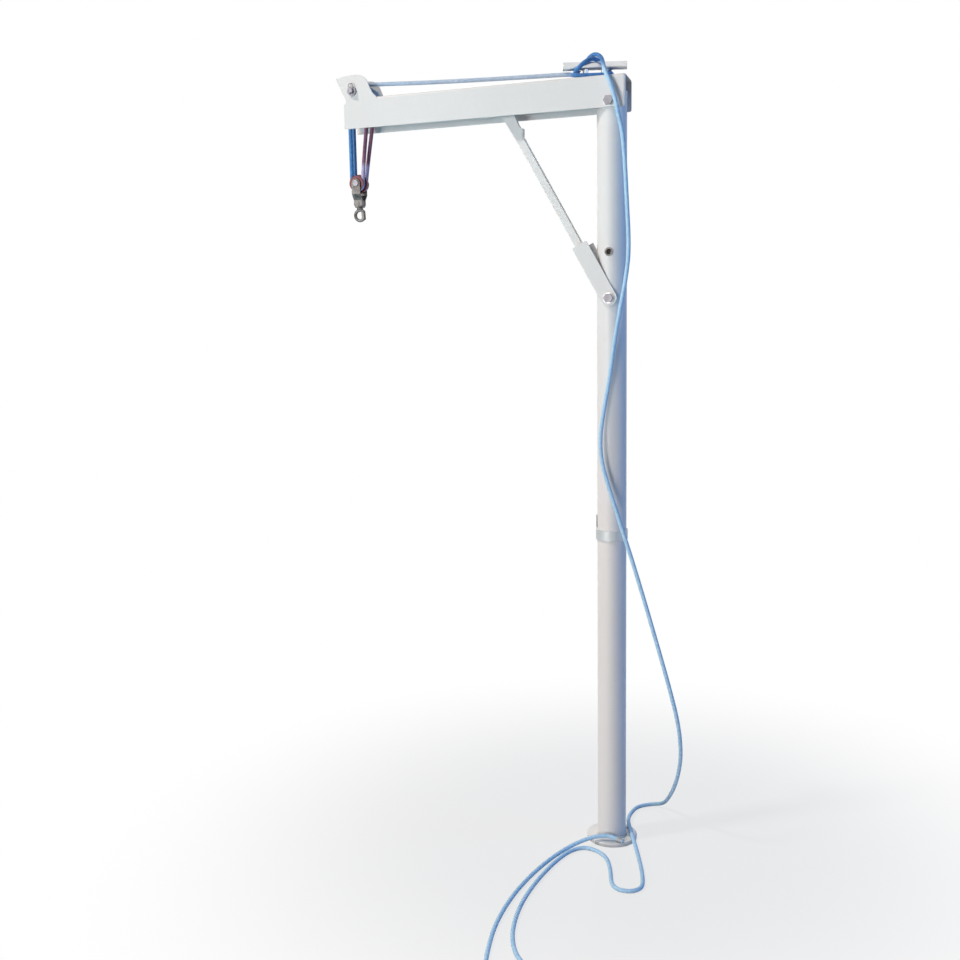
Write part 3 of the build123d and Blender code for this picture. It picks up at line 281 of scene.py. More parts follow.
def new_material(name: str) -> tuple:
    """A new material with nodes.

    Args:
        name: Its name.

    Returns:
        The material, its tree and its shader.
    """
    material = bpy.data.materials.new(name)
    material.use_nodes = True
    tree = material.node_tree
    return material, tree, tree.nodes["Principled BSDF"]


def rgba(colour: tuple) -> tuple:
    """A colour with full alpha."""
    return (*colour, 1.0)


@dataclass(frozen=True)
class HardFinish:
    """Finish of a hard surface: paint, steel or plastic.

    The two colours are the clean one and the soiled one; the bump is in metres.
    """

    name: str
    light: tuple
    dark: tuple
    roughness: float
    metallic: float = 0.0
    coat: float = 0.0
    patch_scale: float = 7.0
    grain_scale: float = 500.0
    amount: float = 0.3
    spread: float = 0.12
    bump: float = 0.00004
    edge: float = 0.0005
    edge_samples: int = 4
    coat_roughness: float = 0.15

    def build(self, weather: bpy.types.NodeTree) -> bpy.types.Material:
        """Builds the material.

        Args:
            weather: The weathering node group.

        Returns:
            The new material.
        """
        material, tree, shader = new_material(self.name)
        group = add_node(tree, "ShaderNodeGroup", node_tree=weather)
        for label, value in {
                "Light": rgba(self.light), "Dark": rgba(self.dark), "Patch Scale": self.patch_scale,
                "Grain Scale": self.grain_scale, "Amount": self.amount, "Roughness": self.roughness,
                "Roughness Spread": self.spread}.items():
            group.inputs[label].default_value = value
        edge = add_node(tree, "ShaderNodeBevel", {"Radius": self.edge}, samples=self.edge_samples)
        bump = add_node(tree, "ShaderNodeBump", {
            "Strength": 1.0, "Distance": self.bump, "Height": group.outputs["Height"],
            "Normal": edge.outputs[0]})
        tree.links.new(group.outputs["Colour"], shader.inputs["Base Color"])
        tree.links.new(group.outputs["Roughness"], shader.inputs["Roughness"])
        tree.links.new(bump.outputs[0], shader.inputs["Normal"])
        shader.inputs["Metallic"].default_value = self.metallic
        shader.inputs["Coat Weight"].default_value = self.coat
        shader.inputs["Coat Roughness"].default_value = self.coat_roughness
        return material


@dataclass(frozen=True)
class PaintedLightZone:
    """A part of a rope painted with another copy of its colour, as painted light and shade: it fades in
    along a direction, in metres.
    """

    lit_shaded_tone: RopeLitShadedTone
    direction: tuple
    start: float
    end: float


@dataclass(frozen=True)
class RopeFinish:
    """Finish of the braided rope: one painted light copy of its colour, and the painted light zones that
    lie over it.
    """

    name: str
    lit_shaded_tone: RopeLitShadedTone
    zones: tuple = ()
    strands: float = 8.0
    pitch: float = 0.55
    # Strength of the painted groove shade and of the flecks.
    fleck: float = 0.75
    bump: float = 0.0004
    bump_strength: float = 0.7
    roughness: float = 0.72
    sheen: float = 0.3
    sheen_roughness: float = 0.4

    def build(self, braid: bpy.types.NodeTree, fade: bpy.types.NodeTree) -> bpy.types.Material:
        """Builds the material.

        Args:
            braid: The braid node group.
            fade: The group that masks a zone.

        Returns:
            The new material.
        """
        material, tree, shader = new_material(self.name)
        light, dark = (rgba(colour) for colour in self.lit_shaded_tone.value)
        for zone in self.zones:
            limits = {"Direction": zone.direction, "Start": zone.start, "End": zone.end}
            mask = add_node(tree, "ShaderNodeGroup", node_tree=fade)
            for label, value in limits.items():
                mask.inputs[label].default_value = value
            mask = mask.outputs[0]
            light = mix_colours(tree, mask, light, rgba(zone.lit_shaded_tone.value[0]))
            dark = mix_colours(tree, mask, dark, rgba(zone.lit_shaded_tone.value[1]))
        group = add_node(tree, "ShaderNodeGroup", node_tree=braid)
        for label, value in {"Light": light, "Dark": dark, "Strands": self.strands,
                             "Pitch": self.pitch, "Groove Shade And Fleck": self.fleck}.items():
            if isinstance(value, bpy.types.NodeSocket):
                tree.links.new(value, group.inputs[label])
            else:
                group.inputs[label].default_value = value
        bump = add_node(tree, "ShaderNodeBump", {
            "Strength": self.bump_strength, "Distance": self.bump, "Height": group.outputs["Height"]})
        tree.links.new(group.outputs["Colour"], shader.inputs["Base Color"])
        tree.links.new(bump.outputs[0], shader.inputs["Normal"])
        shader.inputs["Roughness"].default_value = self.roughness
        shader.inputs["Sheen Weight"].default_value = self.sheen
        shader.inputs["Sheen Roughness"].default_value = self.sheen_roughness
        return material


POWDER_COAT = HardFinish(
    "powder_coat", (0.76, 0.745, 0.73), (0.66, 0.65, 0.63), 0.42, coat=0.05, patch_scale=5.0,
    grain_scale=900.0, amount=0.25, bump=0.00003, edge=0.0008)
HARD_FINISHES = (
    POWDER_COAT,
    replace(POWDER_COAT, name="bar_coat", grain_scale=60.0, bump=0.0, edge=0.0),
    HardFinish("bright_steel", (0.72, 0.73, 0.74), (0.52, 0.53, 0.55), 0.24, metallic=1.0,
               patch_scale=40.0, grain_scale=1500.0, amount=0.5, bump=0.00001),
    HardFinish("dull_steel", (0.17, 0.165, 0.16), (0.06, 0.055, 0.055), 0.46, metallic=0.9,
               patch_scale=75.0, grain_scale=1200.0, amount=0.9, bump=0.00004),
    HardFinish("clip_steel", (0.27, 0.265, 0.29), (0.13, 0.125, 0.14), 0.42, metallic=0.9,
               patch_scale=90.0, grain_scale=1200.0, amount=0.6, bump=0.00002),
    HardFinish("weld", (0.66, 0.65, 0.635), (0.52, 0.51, 0.50), 0.42, coat=0.1,
               patch_scale=90.0, amount=0.5, bump=0.00006),
    HardFinish("waxed_thread", (0.62, 0.60, 0.54), (0.36, 0.34, 0.30), 0.6, patch_scale=300.0, amount=0.8),
    HardFinish("black_moulding", (0.035, 0.037, 0.042), (0.075, 0.075, 0.075), 0.5, bump=0.00006),
    HardFinish("nylon", (0.72, 0.71, 0.66), (0.58, 0.56, 0.50), 0.48, bump=0.00003),
    HardFinish("maroon_moulding", (0.17, 0.022, 0.035), (0.07, 0.012, 0.018), 0.38,
               patch_scale=90.0, amount=0.6, bump=0.00003),
    # The clamp strap is a real band round the mast, tinted grey-blue as a painted shadow across it.
    HardFinish("strap_grey_painted_shadow", (0.52, 0.56, 0.57), (0.40, 0.44, 0.46), 0.45, metallic=0.4,
               patch_scale=30.0, bump=0.00003),
)

DOWN, UP, OUTBOARD = (0.0, 0.0, -1.0), (0.0, 0.0, 1.0), (-1.0, 0.0, 0.0)
# Painted light and shade on the one blue rope: the falls' inboard pair is painted plum as shade, paling to
# lilac low down by the block, and their outboard pair is deep blue; the hanging tail is painted sky blue
# as sunlit and deep blue where it leaves the cleat; the lead and cleat turns get the pale and deep copies.
ROPE_FINISHES = (
    RopeFinish("rope_falls", RopeLitShadedTone.PLUM, (
        PaintedLightZone(RopeLitShadedTone.LILAC, DOWN, -1.386, -1.373), PaintedLightZone(RopeLitShadedTone.DEEP, OUTBOARD, 0.5165, 0.5235))),
    RopeFinish("rope_lead", RopeLitShadedTone.PALE, fleck=1.0),
    RopeFinish("rope_cleat", RopeLitShadedTone.DEEP, (PaintedLightZone(RopeLitShadedTone.PALE, OUTBOARD, 0.066, 0.095),), fleck=0.95),
    RopeFinish("rope_tail", RopeLitShadedTone.SKY, (PaintedLightZone(RopeLitShadedTone.DEEP, UP, 1.512, 1.534),)),
    RopeFinish("tie_line", RopeLitShadedTone.PALE, pitch=0.8),
)


class Finishes:
    """All finishes of the davit, built once, and the trees that make its repeated detail."""

    def __init__(self) -> None:
        """Builds the node groups and every material."""
        weather, braid, fade = make_weather_group(), make_braid_group(), make_fade_group()
        self.hard = {finish.name: finish.build(weather) for finish in HARD_FINISHES}
        self.rope = {finish.name: finish.build(braid, fade) for finish in ROPE_FINISHES}
        self.kit = DetailKit()


# Mesh helpers


def link_mesh(name: str, mesh: bpy.types.Mesh, material: bpy.types.Material) -> bpy.types.Object:
    """A new object in the scene with this mesh and material.

    Args:
        name: The object's name.
        mesh: Its mesh.
        material: Its only material.

    Returns:
        The new object.
    """
    piece = bpy.data.objects.new(name, mesh)
    bpy.context.scene.collection.objects.link(piece)
    mesh.materials.clear()
    mesh.materials.append(material)
    return piece


def attach(piece: bpy.types.Object, body: str) -> None:
    """Parents a piece to the body that carries it, and logs it.

    Args:
        piece: The piece.
        body: The body's name.
    """
    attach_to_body(piece, body)
    LOG.info("%s rides on %s", piece.name, body)


def smooth_line(points: list, steps: int = 16) -> np.ndarray:
    """Points along the NURBS line that a rope's route controls.

    Args:
        points: The route's control points in metres.
        steps: Points for each span.

    Returns:
        An array of points.
    """
    curve = bpy.data.curves.new("route", "CURVE")
    curve.dimensions = "3D"
    curve.resolution_u = steps
    spline = curve.splines.new("NURBS")
    spline.points.add(len(points) - 1)
    for place, point in zip(spline.points, points):
        place.co = (*point, 1.0)
    spline.order_u = 3
    spline.use_endpoint_u = True
    carrier = bpy.data.objects.new("route", curve)
    bpy.context.scene.collection.objects.link(carrier)
    mesh = bpy.data.meshes.new_from_object(carrier)
    line = np.array([vertex.co for vertex in mesh.vertices])
    bpy.data.objects.remove(carrier)
    bpy.data.meshes.remove(mesh)
    bpy.data.curves.remove(curve)
    return line


def spaced(line: np.ndarray, step: float) -> np.ndarray:
    """The same line with its points an even distance apart.

    Args:
        line: Points in metres.
        step: The distance between the new points.

    Returns:
        The new points, with the line's ends kept.
    """
    runs = np.linalg.norm(np.diff(line, axis=0), axis=1)
    keep = np.concatenate(([True], runs > SAME_POINT))
    line = line[keep]
    reach = np.concatenate(([0.0], np.cumsum(np.linalg.norm(np.diff(line, axis=0), axis=1))))
    count = max(4, int(round(reach[-1] / step)) + 1)
    places = np.linspace(0.0, reach[-1], count)
    return np.stack([np.interp(places, reach, line[:, axis]) for axis in range(3)], axis=1)


def carried_frames(line: np.ndarray) -> tuple:
    """Two unit vectors across the line at each point, carried along it without twist.

    Args:
        line: Evenly spaced points.

    Returns:
        The two arrays of vectors.
    """
    way = np.gradient(line, axis=0)
    way /= np.linalg.norm(way, axis=1)[:, None]
    across = np.zeros_like(way)
    first = np.cross(way[0], (0.0, 0.0, 1.0) if abs(way[0][2]) < 0.9 else (1.0, 0.0, 0.0))
    across[0] = first / np.linalg.norm(first)
    for i in range(1, len(line)):
        vector = across[i - 1] - way[i] * np.dot(across[i - 1], way[i])
        across[i] = vector / np.linalg.norm(vector)
    return across, np.cross(way, across)


@dataclass(frozen=True)
class Braid:
    """Braided cover of a rope: its size and how its yarns stand up."""

    diameter: float = ROPE_DIA
    strands: int = 8
    pitch: float = 0.55
    relief: float = 0.00028
    sides: int = 24
    step: float = 0.00125

    def cover(self, line: np.ndarray, reach: np.ndarray) -> tuple:
        """The braided surface round a line.

        Args:
            line: Evenly spaced points in metres.
            reach: How far along each one is, in diameters.

        Returns:
            Its vertices, its four-sided faces and the three-sided faces of its two ends.
        """
        across, other = carried_frames(line)
        rings, sides = len(line), self.sides
        round_share = (np.arange(sides) / sides)[None, :]
        yarns, turns = round_share * self.strands, reach[:, None] / self.pitch
        right, left = (np.abs(np.sin(math.pi * (yarns + way * turns))) for way in (1, -1))
        radius = self.diameter / 2 - self.relief * (1.0 - np.maximum(right, left))
        angle = 2 * math.pi * round_share
        ring = np.cos(angle)[..., None] * across[:, None, :] + np.sin(angle)[..., None] * other[:, None, :]
        verts = (line[:, None, :] + ring * radius[..., None]).reshape(-1, 3)
        start, end = len(verts), len(verts) + 1
        index = np.arange(rings * sides).reshape(rings, sides)
        following = np.roll(index, -1, axis=1)
        quads = np.stack([index[:-1], following[:-1], following[1:], index[1:]], axis=-1).reshape(-1, 4)
        caps = [(start, int(b), int(a)) for a, b in zip(index[0], following[0])]
        caps += [(end, int(a), int(b)) for a, b in zip(index[-1], following[-1])]
        return np.vstack([verts, line[0], line[-1]]), quads, caps

    def unwrap(self, mesh: bpy.types.Mesh, reach: np.ndarray, quads: int) -> None:
        """Gives the surface its UV map: u once round, v in diameters along.

        Args:
            mesh: The surface.
            reach: How far along each ring is, in diameters.
            quads: How many of its first faces have four sides.
        """
        loops = np.zeros(len(mesh.loops), np.int32)
        mesh.loops.foreach_get("vertex_index", loops)
        corner = np.zeros((len(loops), 2), np.float32)
        inside = loops < len(reach) * self.sides
        corner[inside, 0] = (loops[inside] % self.sides) / self.sides
        corner[inside, 1] = reach[loops[inside] // self.sides]
        block = corner[:quads * 4].reshape(-1, 4, 2)
        wraps = np.ptp(block[:, :, 0], axis=1) > 0.5
        block[..., 0] += wraps[:, None] & (block[..., 0] < 0.5)
        mesh.uv_layers.new(name="UVMap").data.foreach_set("uv", corner.ravel())

    def tube(self, name: str, points: list, material: bpy.types.Material) -> tuple:
        """Makes a braided tube along a route.

        Args:
            name: The piece's name.
            points: The route's control points in metres.
            material: Its material.

        Returns:
            The piece and the line that it follows.
        """
        line = spaced(smooth_line(points), self.step)
        steps = np.linalg.norm(np.diff(line, axis=0), axis=1)
        reach = np.concatenate(([0.0], np.cumsum(steps))) / self.diameter
        verts, quads, caps = self.cover(line, reach)
        mesh = bpy.data.meshes.new(name)
        mesh.from_pydata(verts.tolist(), [], quads.tolist() + caps)
        self.unwrap(mesh, reach, len(quads))
        mesh.polygons.foreach_set("use_smooth", [True] * len(mesh.polygons))
        mesh.update()
        return link_mesh(name, mesh, material), line


def mm(points: list) -> list:
    """Points given in millimetres, in metres."""
    return [tuple(value * MM for value in point) for point in points]


# Stage


@dataclass(frozen=True)
class Lamp:
    """A soft square lamp: place, target and side in metres, its power, its colour, its beam in degrees."""

    name: str
    place: tuple
    target: tuple
    side: float
    power: float
    colour: tuple
    beam: float = 180.0

    def build(self) -> None:
        """Hangs the lamp and aims it."""
        data = bpy.data.lights.new(self.name, "AREA")
        data.size, data.energy, data.color = self.side, self.power, self.colour
        data.spread = math.radians(self.beam)
        lamp = bpy.data.objects.new(self.name, data)
        lamp.location = self.place
        way = Vector(self.target) - Vector(self.place)
        lamp.rotation_euler = way.to_track_quat("-Z", "Y").to_euler()
        bpy.context.scene.collection.objects.link(lamp)


LAMPS = (
    Lamp("sun", (-2.7, -1.9, 4.7), (-0.1, 0, 0.9), 0.5, 132.0, (1.0, 0.935, 0.875)),
    Lamp("front_fill", (-2.6, -5.0, 0.9), (0.0, 0, 0.7), 1.8, 144.0, (1.0, 0.93, 0.895)),
    Lamp("cool_side", (3.2, 0.3, 1.7), (0, 0, 1.3), 1.6, 36.0, (0.01, 0.30, 1.0)),
    Lamp("low_fill", (-0.5, -1.1, 0.1), (-0.27, 0, 1.47), 0.6, 0.85, (0.10, 0.66, 0.90), beam=50.0),
    Lamp("back_fill", (-1.2, 3.4, 2.2), (0, 0, 0.8), 2.0, 42.0, (1.0, 0.98, 0.96)),
)


def seen_plainly(tree: bpy.types.NodeTree) -> bpy.types.NodeSocket:
    """1 on rays from the camera, off gloss and through glass, which find a white background.

    Args:
        tree: The material's or the world's tree.

    Returns:
        The socket that gives 1 or 0.
    """
    rays = add_node(tree, "ShaderNodeLightPath").outputs
    through = math_node(tree, "MAXIMUM", rays["Is Glossy Ray"], rays["Is Transmission Ray"])
    return math_node(tree, "MAXIMUM", rays["Is Camera Ray"], through)


@dataclass
class Studio:
    """Camera, floor, backdrop and lamps: angles in degrees, lengths in metres."""

    azimuth: float = 18.66
    pitch: float = 7.66
    roll: float = -0.96
    distance: float = 2.0774
    height: float = 1.02635
    aside: float = 0.2604
    focal_px: float = 1061.9
    image_px: float = 960.0
    sensor: float = 36.0
    near_clip: float = 0.05
    far_clip: float = 60.0
    ambient: float = 0.16
    sky_colour: tuple = (0.58, 0.80, 1.0)
    floor_colour: tuple = (0.50, 0.50, 0.50)
    floor_roughness: float = 0.9
    floor_reach: float = 14.0
    floor_drop: float = 0.0005
    shadow_reach: tuple = (0.25, 1.1)
    shadow_white: float = 0.72
    lamps: tuple = LAMPS

    def place_camera(self) -> None:
        """Sets the camera to the photograph's viewpoint."""
        turn, dip, tilt = (math.radians(a) for a in (self.azimuth, self.pitch, self.roll))
        view = Vector((-math.sin(turn), math.cos(turn), 0.0))
        right = Vector((math.cos(turn), math.sin(turn), 0.0))
        up = Vector((0.0, 0.0, 1.0))
        eye = -view * self.distance - right * self.aside + up * self.height
        forward = view * math.cos(dip) - up * math.sin(dip)
        above = view * math.sin(dip) + up * math.cos(dip)
        camera_right = right * math.cos(tilt) + above * math.sin(tilt)
        camera_up = -right * math.sin(tilt) + above * math.cos(tilt)
        data = bpy.data.cameras.new("camera")
        data.sensor_width = self.sensor
        data.lens = self.focal_px / self.image_px * self.sensor
        data.clip_start, data.clip_end = self.near_clip, self.far_clip
        camera = bpy.data.objects.new("camera", data)
        camera.matrix_world = Matrix.Translation(eye) @ Matrix(
            (camera_right, camera_up, -forward)).transposed().to_4x4()
        bpy.context.scene.collection.objects.link(camera)
        bpy.context.scene.camera = camera

    def floor_material(self) -> bpy.types.Material:
        """Pale material that those rays see as white, with the object's soft shadow near its foot.

        Returns:
            The new material.
        """
        material, tree, shader = new_material("pale_floor")
        shader.inputs["Base Color"].default_value = rgba(self.floor_colour)
        shader.inputs["Roughness"].default_value = self.floor_roughness
        glow = add_node(tree, "ShaderNodeEmission", {"Color": (1, 1, 1, 1), "Strength": 1.0})
        place = add_node(tree, "ShaderNodeTexCoord").outputs["Object"]
        reach = add_node(tree, "ShaderNodeVectorMath", {0: place}, operation="LENGTH").outputs["Value"]
        far = add_node(tree, "ShaderNodeMapRange", {
            0: reach, 1: self.shadow_reach[0], 2: self.shadow_reach[1], 3: self.shadow_white, 4: 1.0},
            interpolation_type="SMOOTHSTEP").outputs[0]
        white = math_node(tree, "MULTIPLY", seen_plainly(tree), far)
        blend = add_node(tree, "ShaderNodeMixShader", {0: white})
        tree.links.new(shader.outputs[0], blend.inputs[1])
        tree.links.new(glow.outputs[0], blend.inputs[2])
        tree.links.new(blend.outputs[0], tree.nodes["Material Output"].inputs["Surface"])
        return material

    def lay_floor(self) -> None:
        """Lays the floor just under the davit."""
        mesh, reach = bpy.data.meshes.new("floor"), self.floor_reach
        corners = [(-reach, -reach, 0), (reach, -reach, 0), (reach, reach, 0), (-reach, reach, 0)]
        mesh.from_pydata(corners, [], [(0, 1, 2, 3)])
        floor = link_mesh("floor", mesh, self.floor_material())
        floor.location.z = -self.floor_drop

    def make_world(self) -> bpy.types.World:
        """World that lights the davit faintly and that those rays see as white.

        Returns:
            The new world.
        """
        world = bpy.data.worlds.new("studio")
        world.use_nodes = True
        tree = world.node_tree
        background, seen = tree.nodes["Background"], seen_plainly(tree)
        extra = math_node(tree, "MULTIPLY", seen, 1.0 - self.ambient)
        strength = math_node(tree, "ADD", self.ambient, extra)
        tree.links.new(strength, background.inputs["Strength"])
        colour = mix_colours(tree, seen, rgba(self.sky_colour), (1, 1, 1, 1))
        tree.links.new(colour, background.inputs["Color"])
        return world

    def build(self) -> None:
        """Makes the camera, the floor, the world and the lamps."""
        bpy.context.scene.view_settings.view_transform = "Standard"
        self.place_camera()
        self.lay_floor()
        bpy.context.scene.world = self.make_world()
        for lamp in self.lamps:
            lamp.build()


# Repeated detail, made by Geometry Nodes


def new_geometry_group(name: str, inputs: dict) -> tuple:
    """Starts a Geometry Nodes tree.

    Args:
        name: The tree's name.
        inputs: Socket type and default value by input name.

    Returns:
        The tree, its input node and its output node.
    """
    tree = bpy.data.node_groups.new(name, "GeometryNodeTree")
    tree.interface.new_socket("Geometry", in_out="INPUT", socket_type="NodeSocketGeometry")
    for label, (kind, value) in inputs.items():
        socket = tree.interface.new_socket(label, in_out="INPUT", socket_type=kind)
        if value is not None:
            socket.default_value = value
    tree.interface.new_socket("Geometry", in_out="OUTPUT", socket_type="NodeSocketGeometry")
    return tree, tree.nodes.new("NodeGroupInput"), tree.nodes.new("NodeGroupOutput")


def finish_geometry(tree: bpy.types.NodeTree, source: bpy.types.Node, sink: bpy.types.Node,
                    instances: bpy.types.NodeSocket) -> None:
    """Ends a tree: real instances, smooth shading and the material that its input names.

    Args:
        tree: The tree.
        source: Its input node.
        sink: Its output node.
        instances: The socket that holds what it has made.
    """
    real = add_node(tree, "GeometryNodeRealizeInstances", {0: instances})
    smooth = add_node(tree, "GeometryNodeSetShadeSmooth", {"Geometry": real.outputs[0]})
    painted = add_node(tree, "GeometryNodeSetMaterial", {
        "Geometry": smooth.outputs[0], "Material": source.outputs["Material"]})
    tree.links.new(painted.outputs[0], sink.inputs[0])


def make_ring_stack() -> bpy.types.NodeTree:
    """Tree of equal rings along Z: a whipping, a thread or a spring.

    Returns:
        The new node tree.
    """
    tree, source, sink = new_geometry_group("ring_stack", {
        "Count": ("NodeSocketInt", 8), "Pitch": (FLOAT, 0.001), "Radius": (FLOAT, 0.004),
        "Wire": (FLOAT, 0.0005), "Material": ("NodeSocketMaterial", None)})
    step = add_node(tree, "ShaderNodeCombineXYZ", {2: source.outputs["Pitch"]}).outputs[0]
    places = add_node(tree, "GeometryNodeMeshLine", {
        "Count": source.outputs["Count"], "Offset": step}, mode="OFFSET")
    ring = add_node(tree, "GeometryNodeCurvePrimitiveCircle", {
        "Resolution": 28, "Radius": source.outputs["Radius"]})
    section = add_node(tree, "GeometryNodeCurvePrimitiveCircle", {
        "Resolution": 8, "Radius": source.outputs["Wire"]})
    solid = add_node(tree, "GeometryNodeCurveToMesh", {
        "Curve": ring.outputs[0], "Profile Curve": section.outputs[0]})
    stack = add_node(tree, "GeometryNodeInstanceOnPoints", {
        "Points": places.outputs[0], "Instance": solid.outputs[0]})
    finish_geometry(tree, source, sink, stack.outputs[0])
    return tree


def make_weld_bead() -> bpy.types.NodeTree:
    """Tree that lays overlapping ripples of weld along the edges of its input.

    Returns:
        The new node tree.
    """
    tree, source, sink = new_geometry_group("weld_bead", {
        "Step": (FLOAT, 0.0012), "Size": (FLOAT, 0.0012), "Unevenness": (FLOAT, 0.18),
        "Seed": ("NodeSocketInt", 3), "Material": ("NodeSocketMaterial", None)})
    curve = add_node(tree, "GeometryNodeMeshToCurve", {"Mesh": source.outputs["Geometry"]})
    even = add_node(tree, "GeometryNodeResampleCurve", {
        "Curve": curve.outputs[0], "Length": source.outputs["Step"]}, mode="LENGTH")
    drop = add_node(tree, "GeometryNodeMeshIcoSphere", {
        "Radius": source.outputs["Size"], "Subdivisions": 2})
    least = math_node(tree, "SUBTRACT", 1.0, source.outputs["Unevenness"])
    size = add_node(tree, "FunctionNodeRandomValue", {
        "Min": least, "Max": 1.0, "Seed": source.outputs["Seed"]}, data_type="FLOAT")
    beads = add_node(tree, "GeometryNodeInstanceOnPoints", {
        "Points": even.outputs[0], "Instance": drop.outputs[0]})
    tree.links.new(next(socket for socket in size.outputs if socket.enabled), beads.inputs["Scale"])
    finish_geometry(tree, source, sink, beads.outputs[0])
    return tree


def make_yarn_brush() -> bpy.types.NodeTree:
    """Tree of loose yarns that spread from the points of its input, along Z.

    Returns:
        The new node tree.
    """
    tree, source, sink = new_geometry_group("yarn_brush", {
        "Length": (FLOAT, 0.008), "Yarn Radius": (FLOAT, 0.00045), "Spread": (FLOAT, 0.5),
        "Seed": ("NodeSocketInt", 5), "Material": ("NodeSocketMaterial", None)})
    yarn = add_node(tree, "GeometryNodeMeshCone", {
        "Vertices": 7, "Side Segments": 4, "Radius Top": 0.0002,
        "Radius Bottom": source.outputs["Yarn Radius"], "Depth": source.outputs["Length"]})
    low = math_node(tree, "MULTIPLY", source.outputs["Spread"], -1.0)
    turn = add_node(tree, "FunctionNodeRandomValue", {
        "Seed": source.outputs["Seed"]}, data_type="FLOAT_VECTOR")
    limits = [add_node(tree, "ShaderNodeCombineXYZ", {0: side, 1: side}).outputs[0]
              for side in (low, source.outputs["Spread"])]
    tree.links.new(limits[0], turn.inputs["Min"])
    tree.links.new(limits[1], turn.inputs["Max"])
    brush = add_node(tree, "GeometryNodeInstanceOnPoints", {
        "Points": source.outputs["Geometry"], "Instance": yarn.outputs["Mesh"]})
    tree.links.new(turn.outputs[0], brush.inputs["Rotation"])
    finish_geometry(tree, source, sink, brush.outputs[0])
    return tree


class DetailKit:
    """The Geometry Nodes trees, and how a plain mesh is made with one."""

    def __init__(self) -> None:
        """Builds the trees."""
        self.ring_stack = make_ring_stack()
        self.weld_bead = make_weld_bead()
        self.yarn_brush = make_yarn_brush()

    def make(self, name: str, tree: bpy.types.NodeTree, values: dict, points: list | None = None,
             edges: list | None = None, place: Matrix | None = None) -> bpy.types.Object:
        """Runs a tree and keeps its result as a plain mesh.

        Args:
            name: The new piece's name.
            tree: The Geometry Nodes tree.
            values: Its input values by name.
            points: The points that it starts from.
            edges: The edges between them.
            place: Where the result goes.

        Returns:
            The piece, with its origin at the world's.
        """
        host_mesh = bpy.data.meshes.new(name + "_host")
        host_mesh.from_pydata(points or [(0, 0, 0)], edges or [], [])
        host = bpy.data.objects.new(name + "_host", host_mesh)
        bpy.context.scene.collection.objects.link(host)
        modifier = host.modifiers.new("detail", "NODES")
        modifier.node_group = tree
        for item in tree.interface.items_tree:
            if item.in_out == "INPUT" and item.name in values:
                modifier[item.identifier] = values[item.name]
        seen = host.evaluated_get(bpy.context.evaluated_depsgraph_get())
        mesh = bpy.data.meshes.new_from_object(seen)
        host.modifiers.clear()
        bpy.data.objects.remove(host)
        bpy.data.meshes.remove(host_mesh)
        mesh.name = name
        mesh.transform(place or Matrix.Identity(4))
        mesh.update()
        return link_mesh(name, mesh, values["Material"])


def facing(place: Vector, way: Vector) -> Matrix:
    """A frame at this place with its Z along this way."""
    return Matrix.Translation(place) @ Vector(way).to_track_quat("Z", "Y").to_matrix().to_4x4()


@dataclass
class Whipping:
    """Turns of waxed thread round the end of the rope."""

    name: str
    place: Vector
    way: Vector
    body: str
    turns: int = 10
    pitch: float = 0.0009
    thread_radius: float = 0.00055

    def build(self, finishes: Finishes) -> bpy.types.Object:
        """Makes the whipping, which rides on the body that carries the rope's end.

        Args:
            finishes: The davit's finishes.

        Returns:
            The piece.
        """
        kit = finishes.kit
        piece = kit.make(self.name, kit.ring_stack, {
            "Count": self.turns, "Pitch": self.pitch, "Radius": ROPE_DIA / 2,
            "Wire": self.thread_radius, "Material": finishes.hard["waxed_thread"]},
            place=facing(self.place, self.way))
        attach(piece, self.body)
        return piece


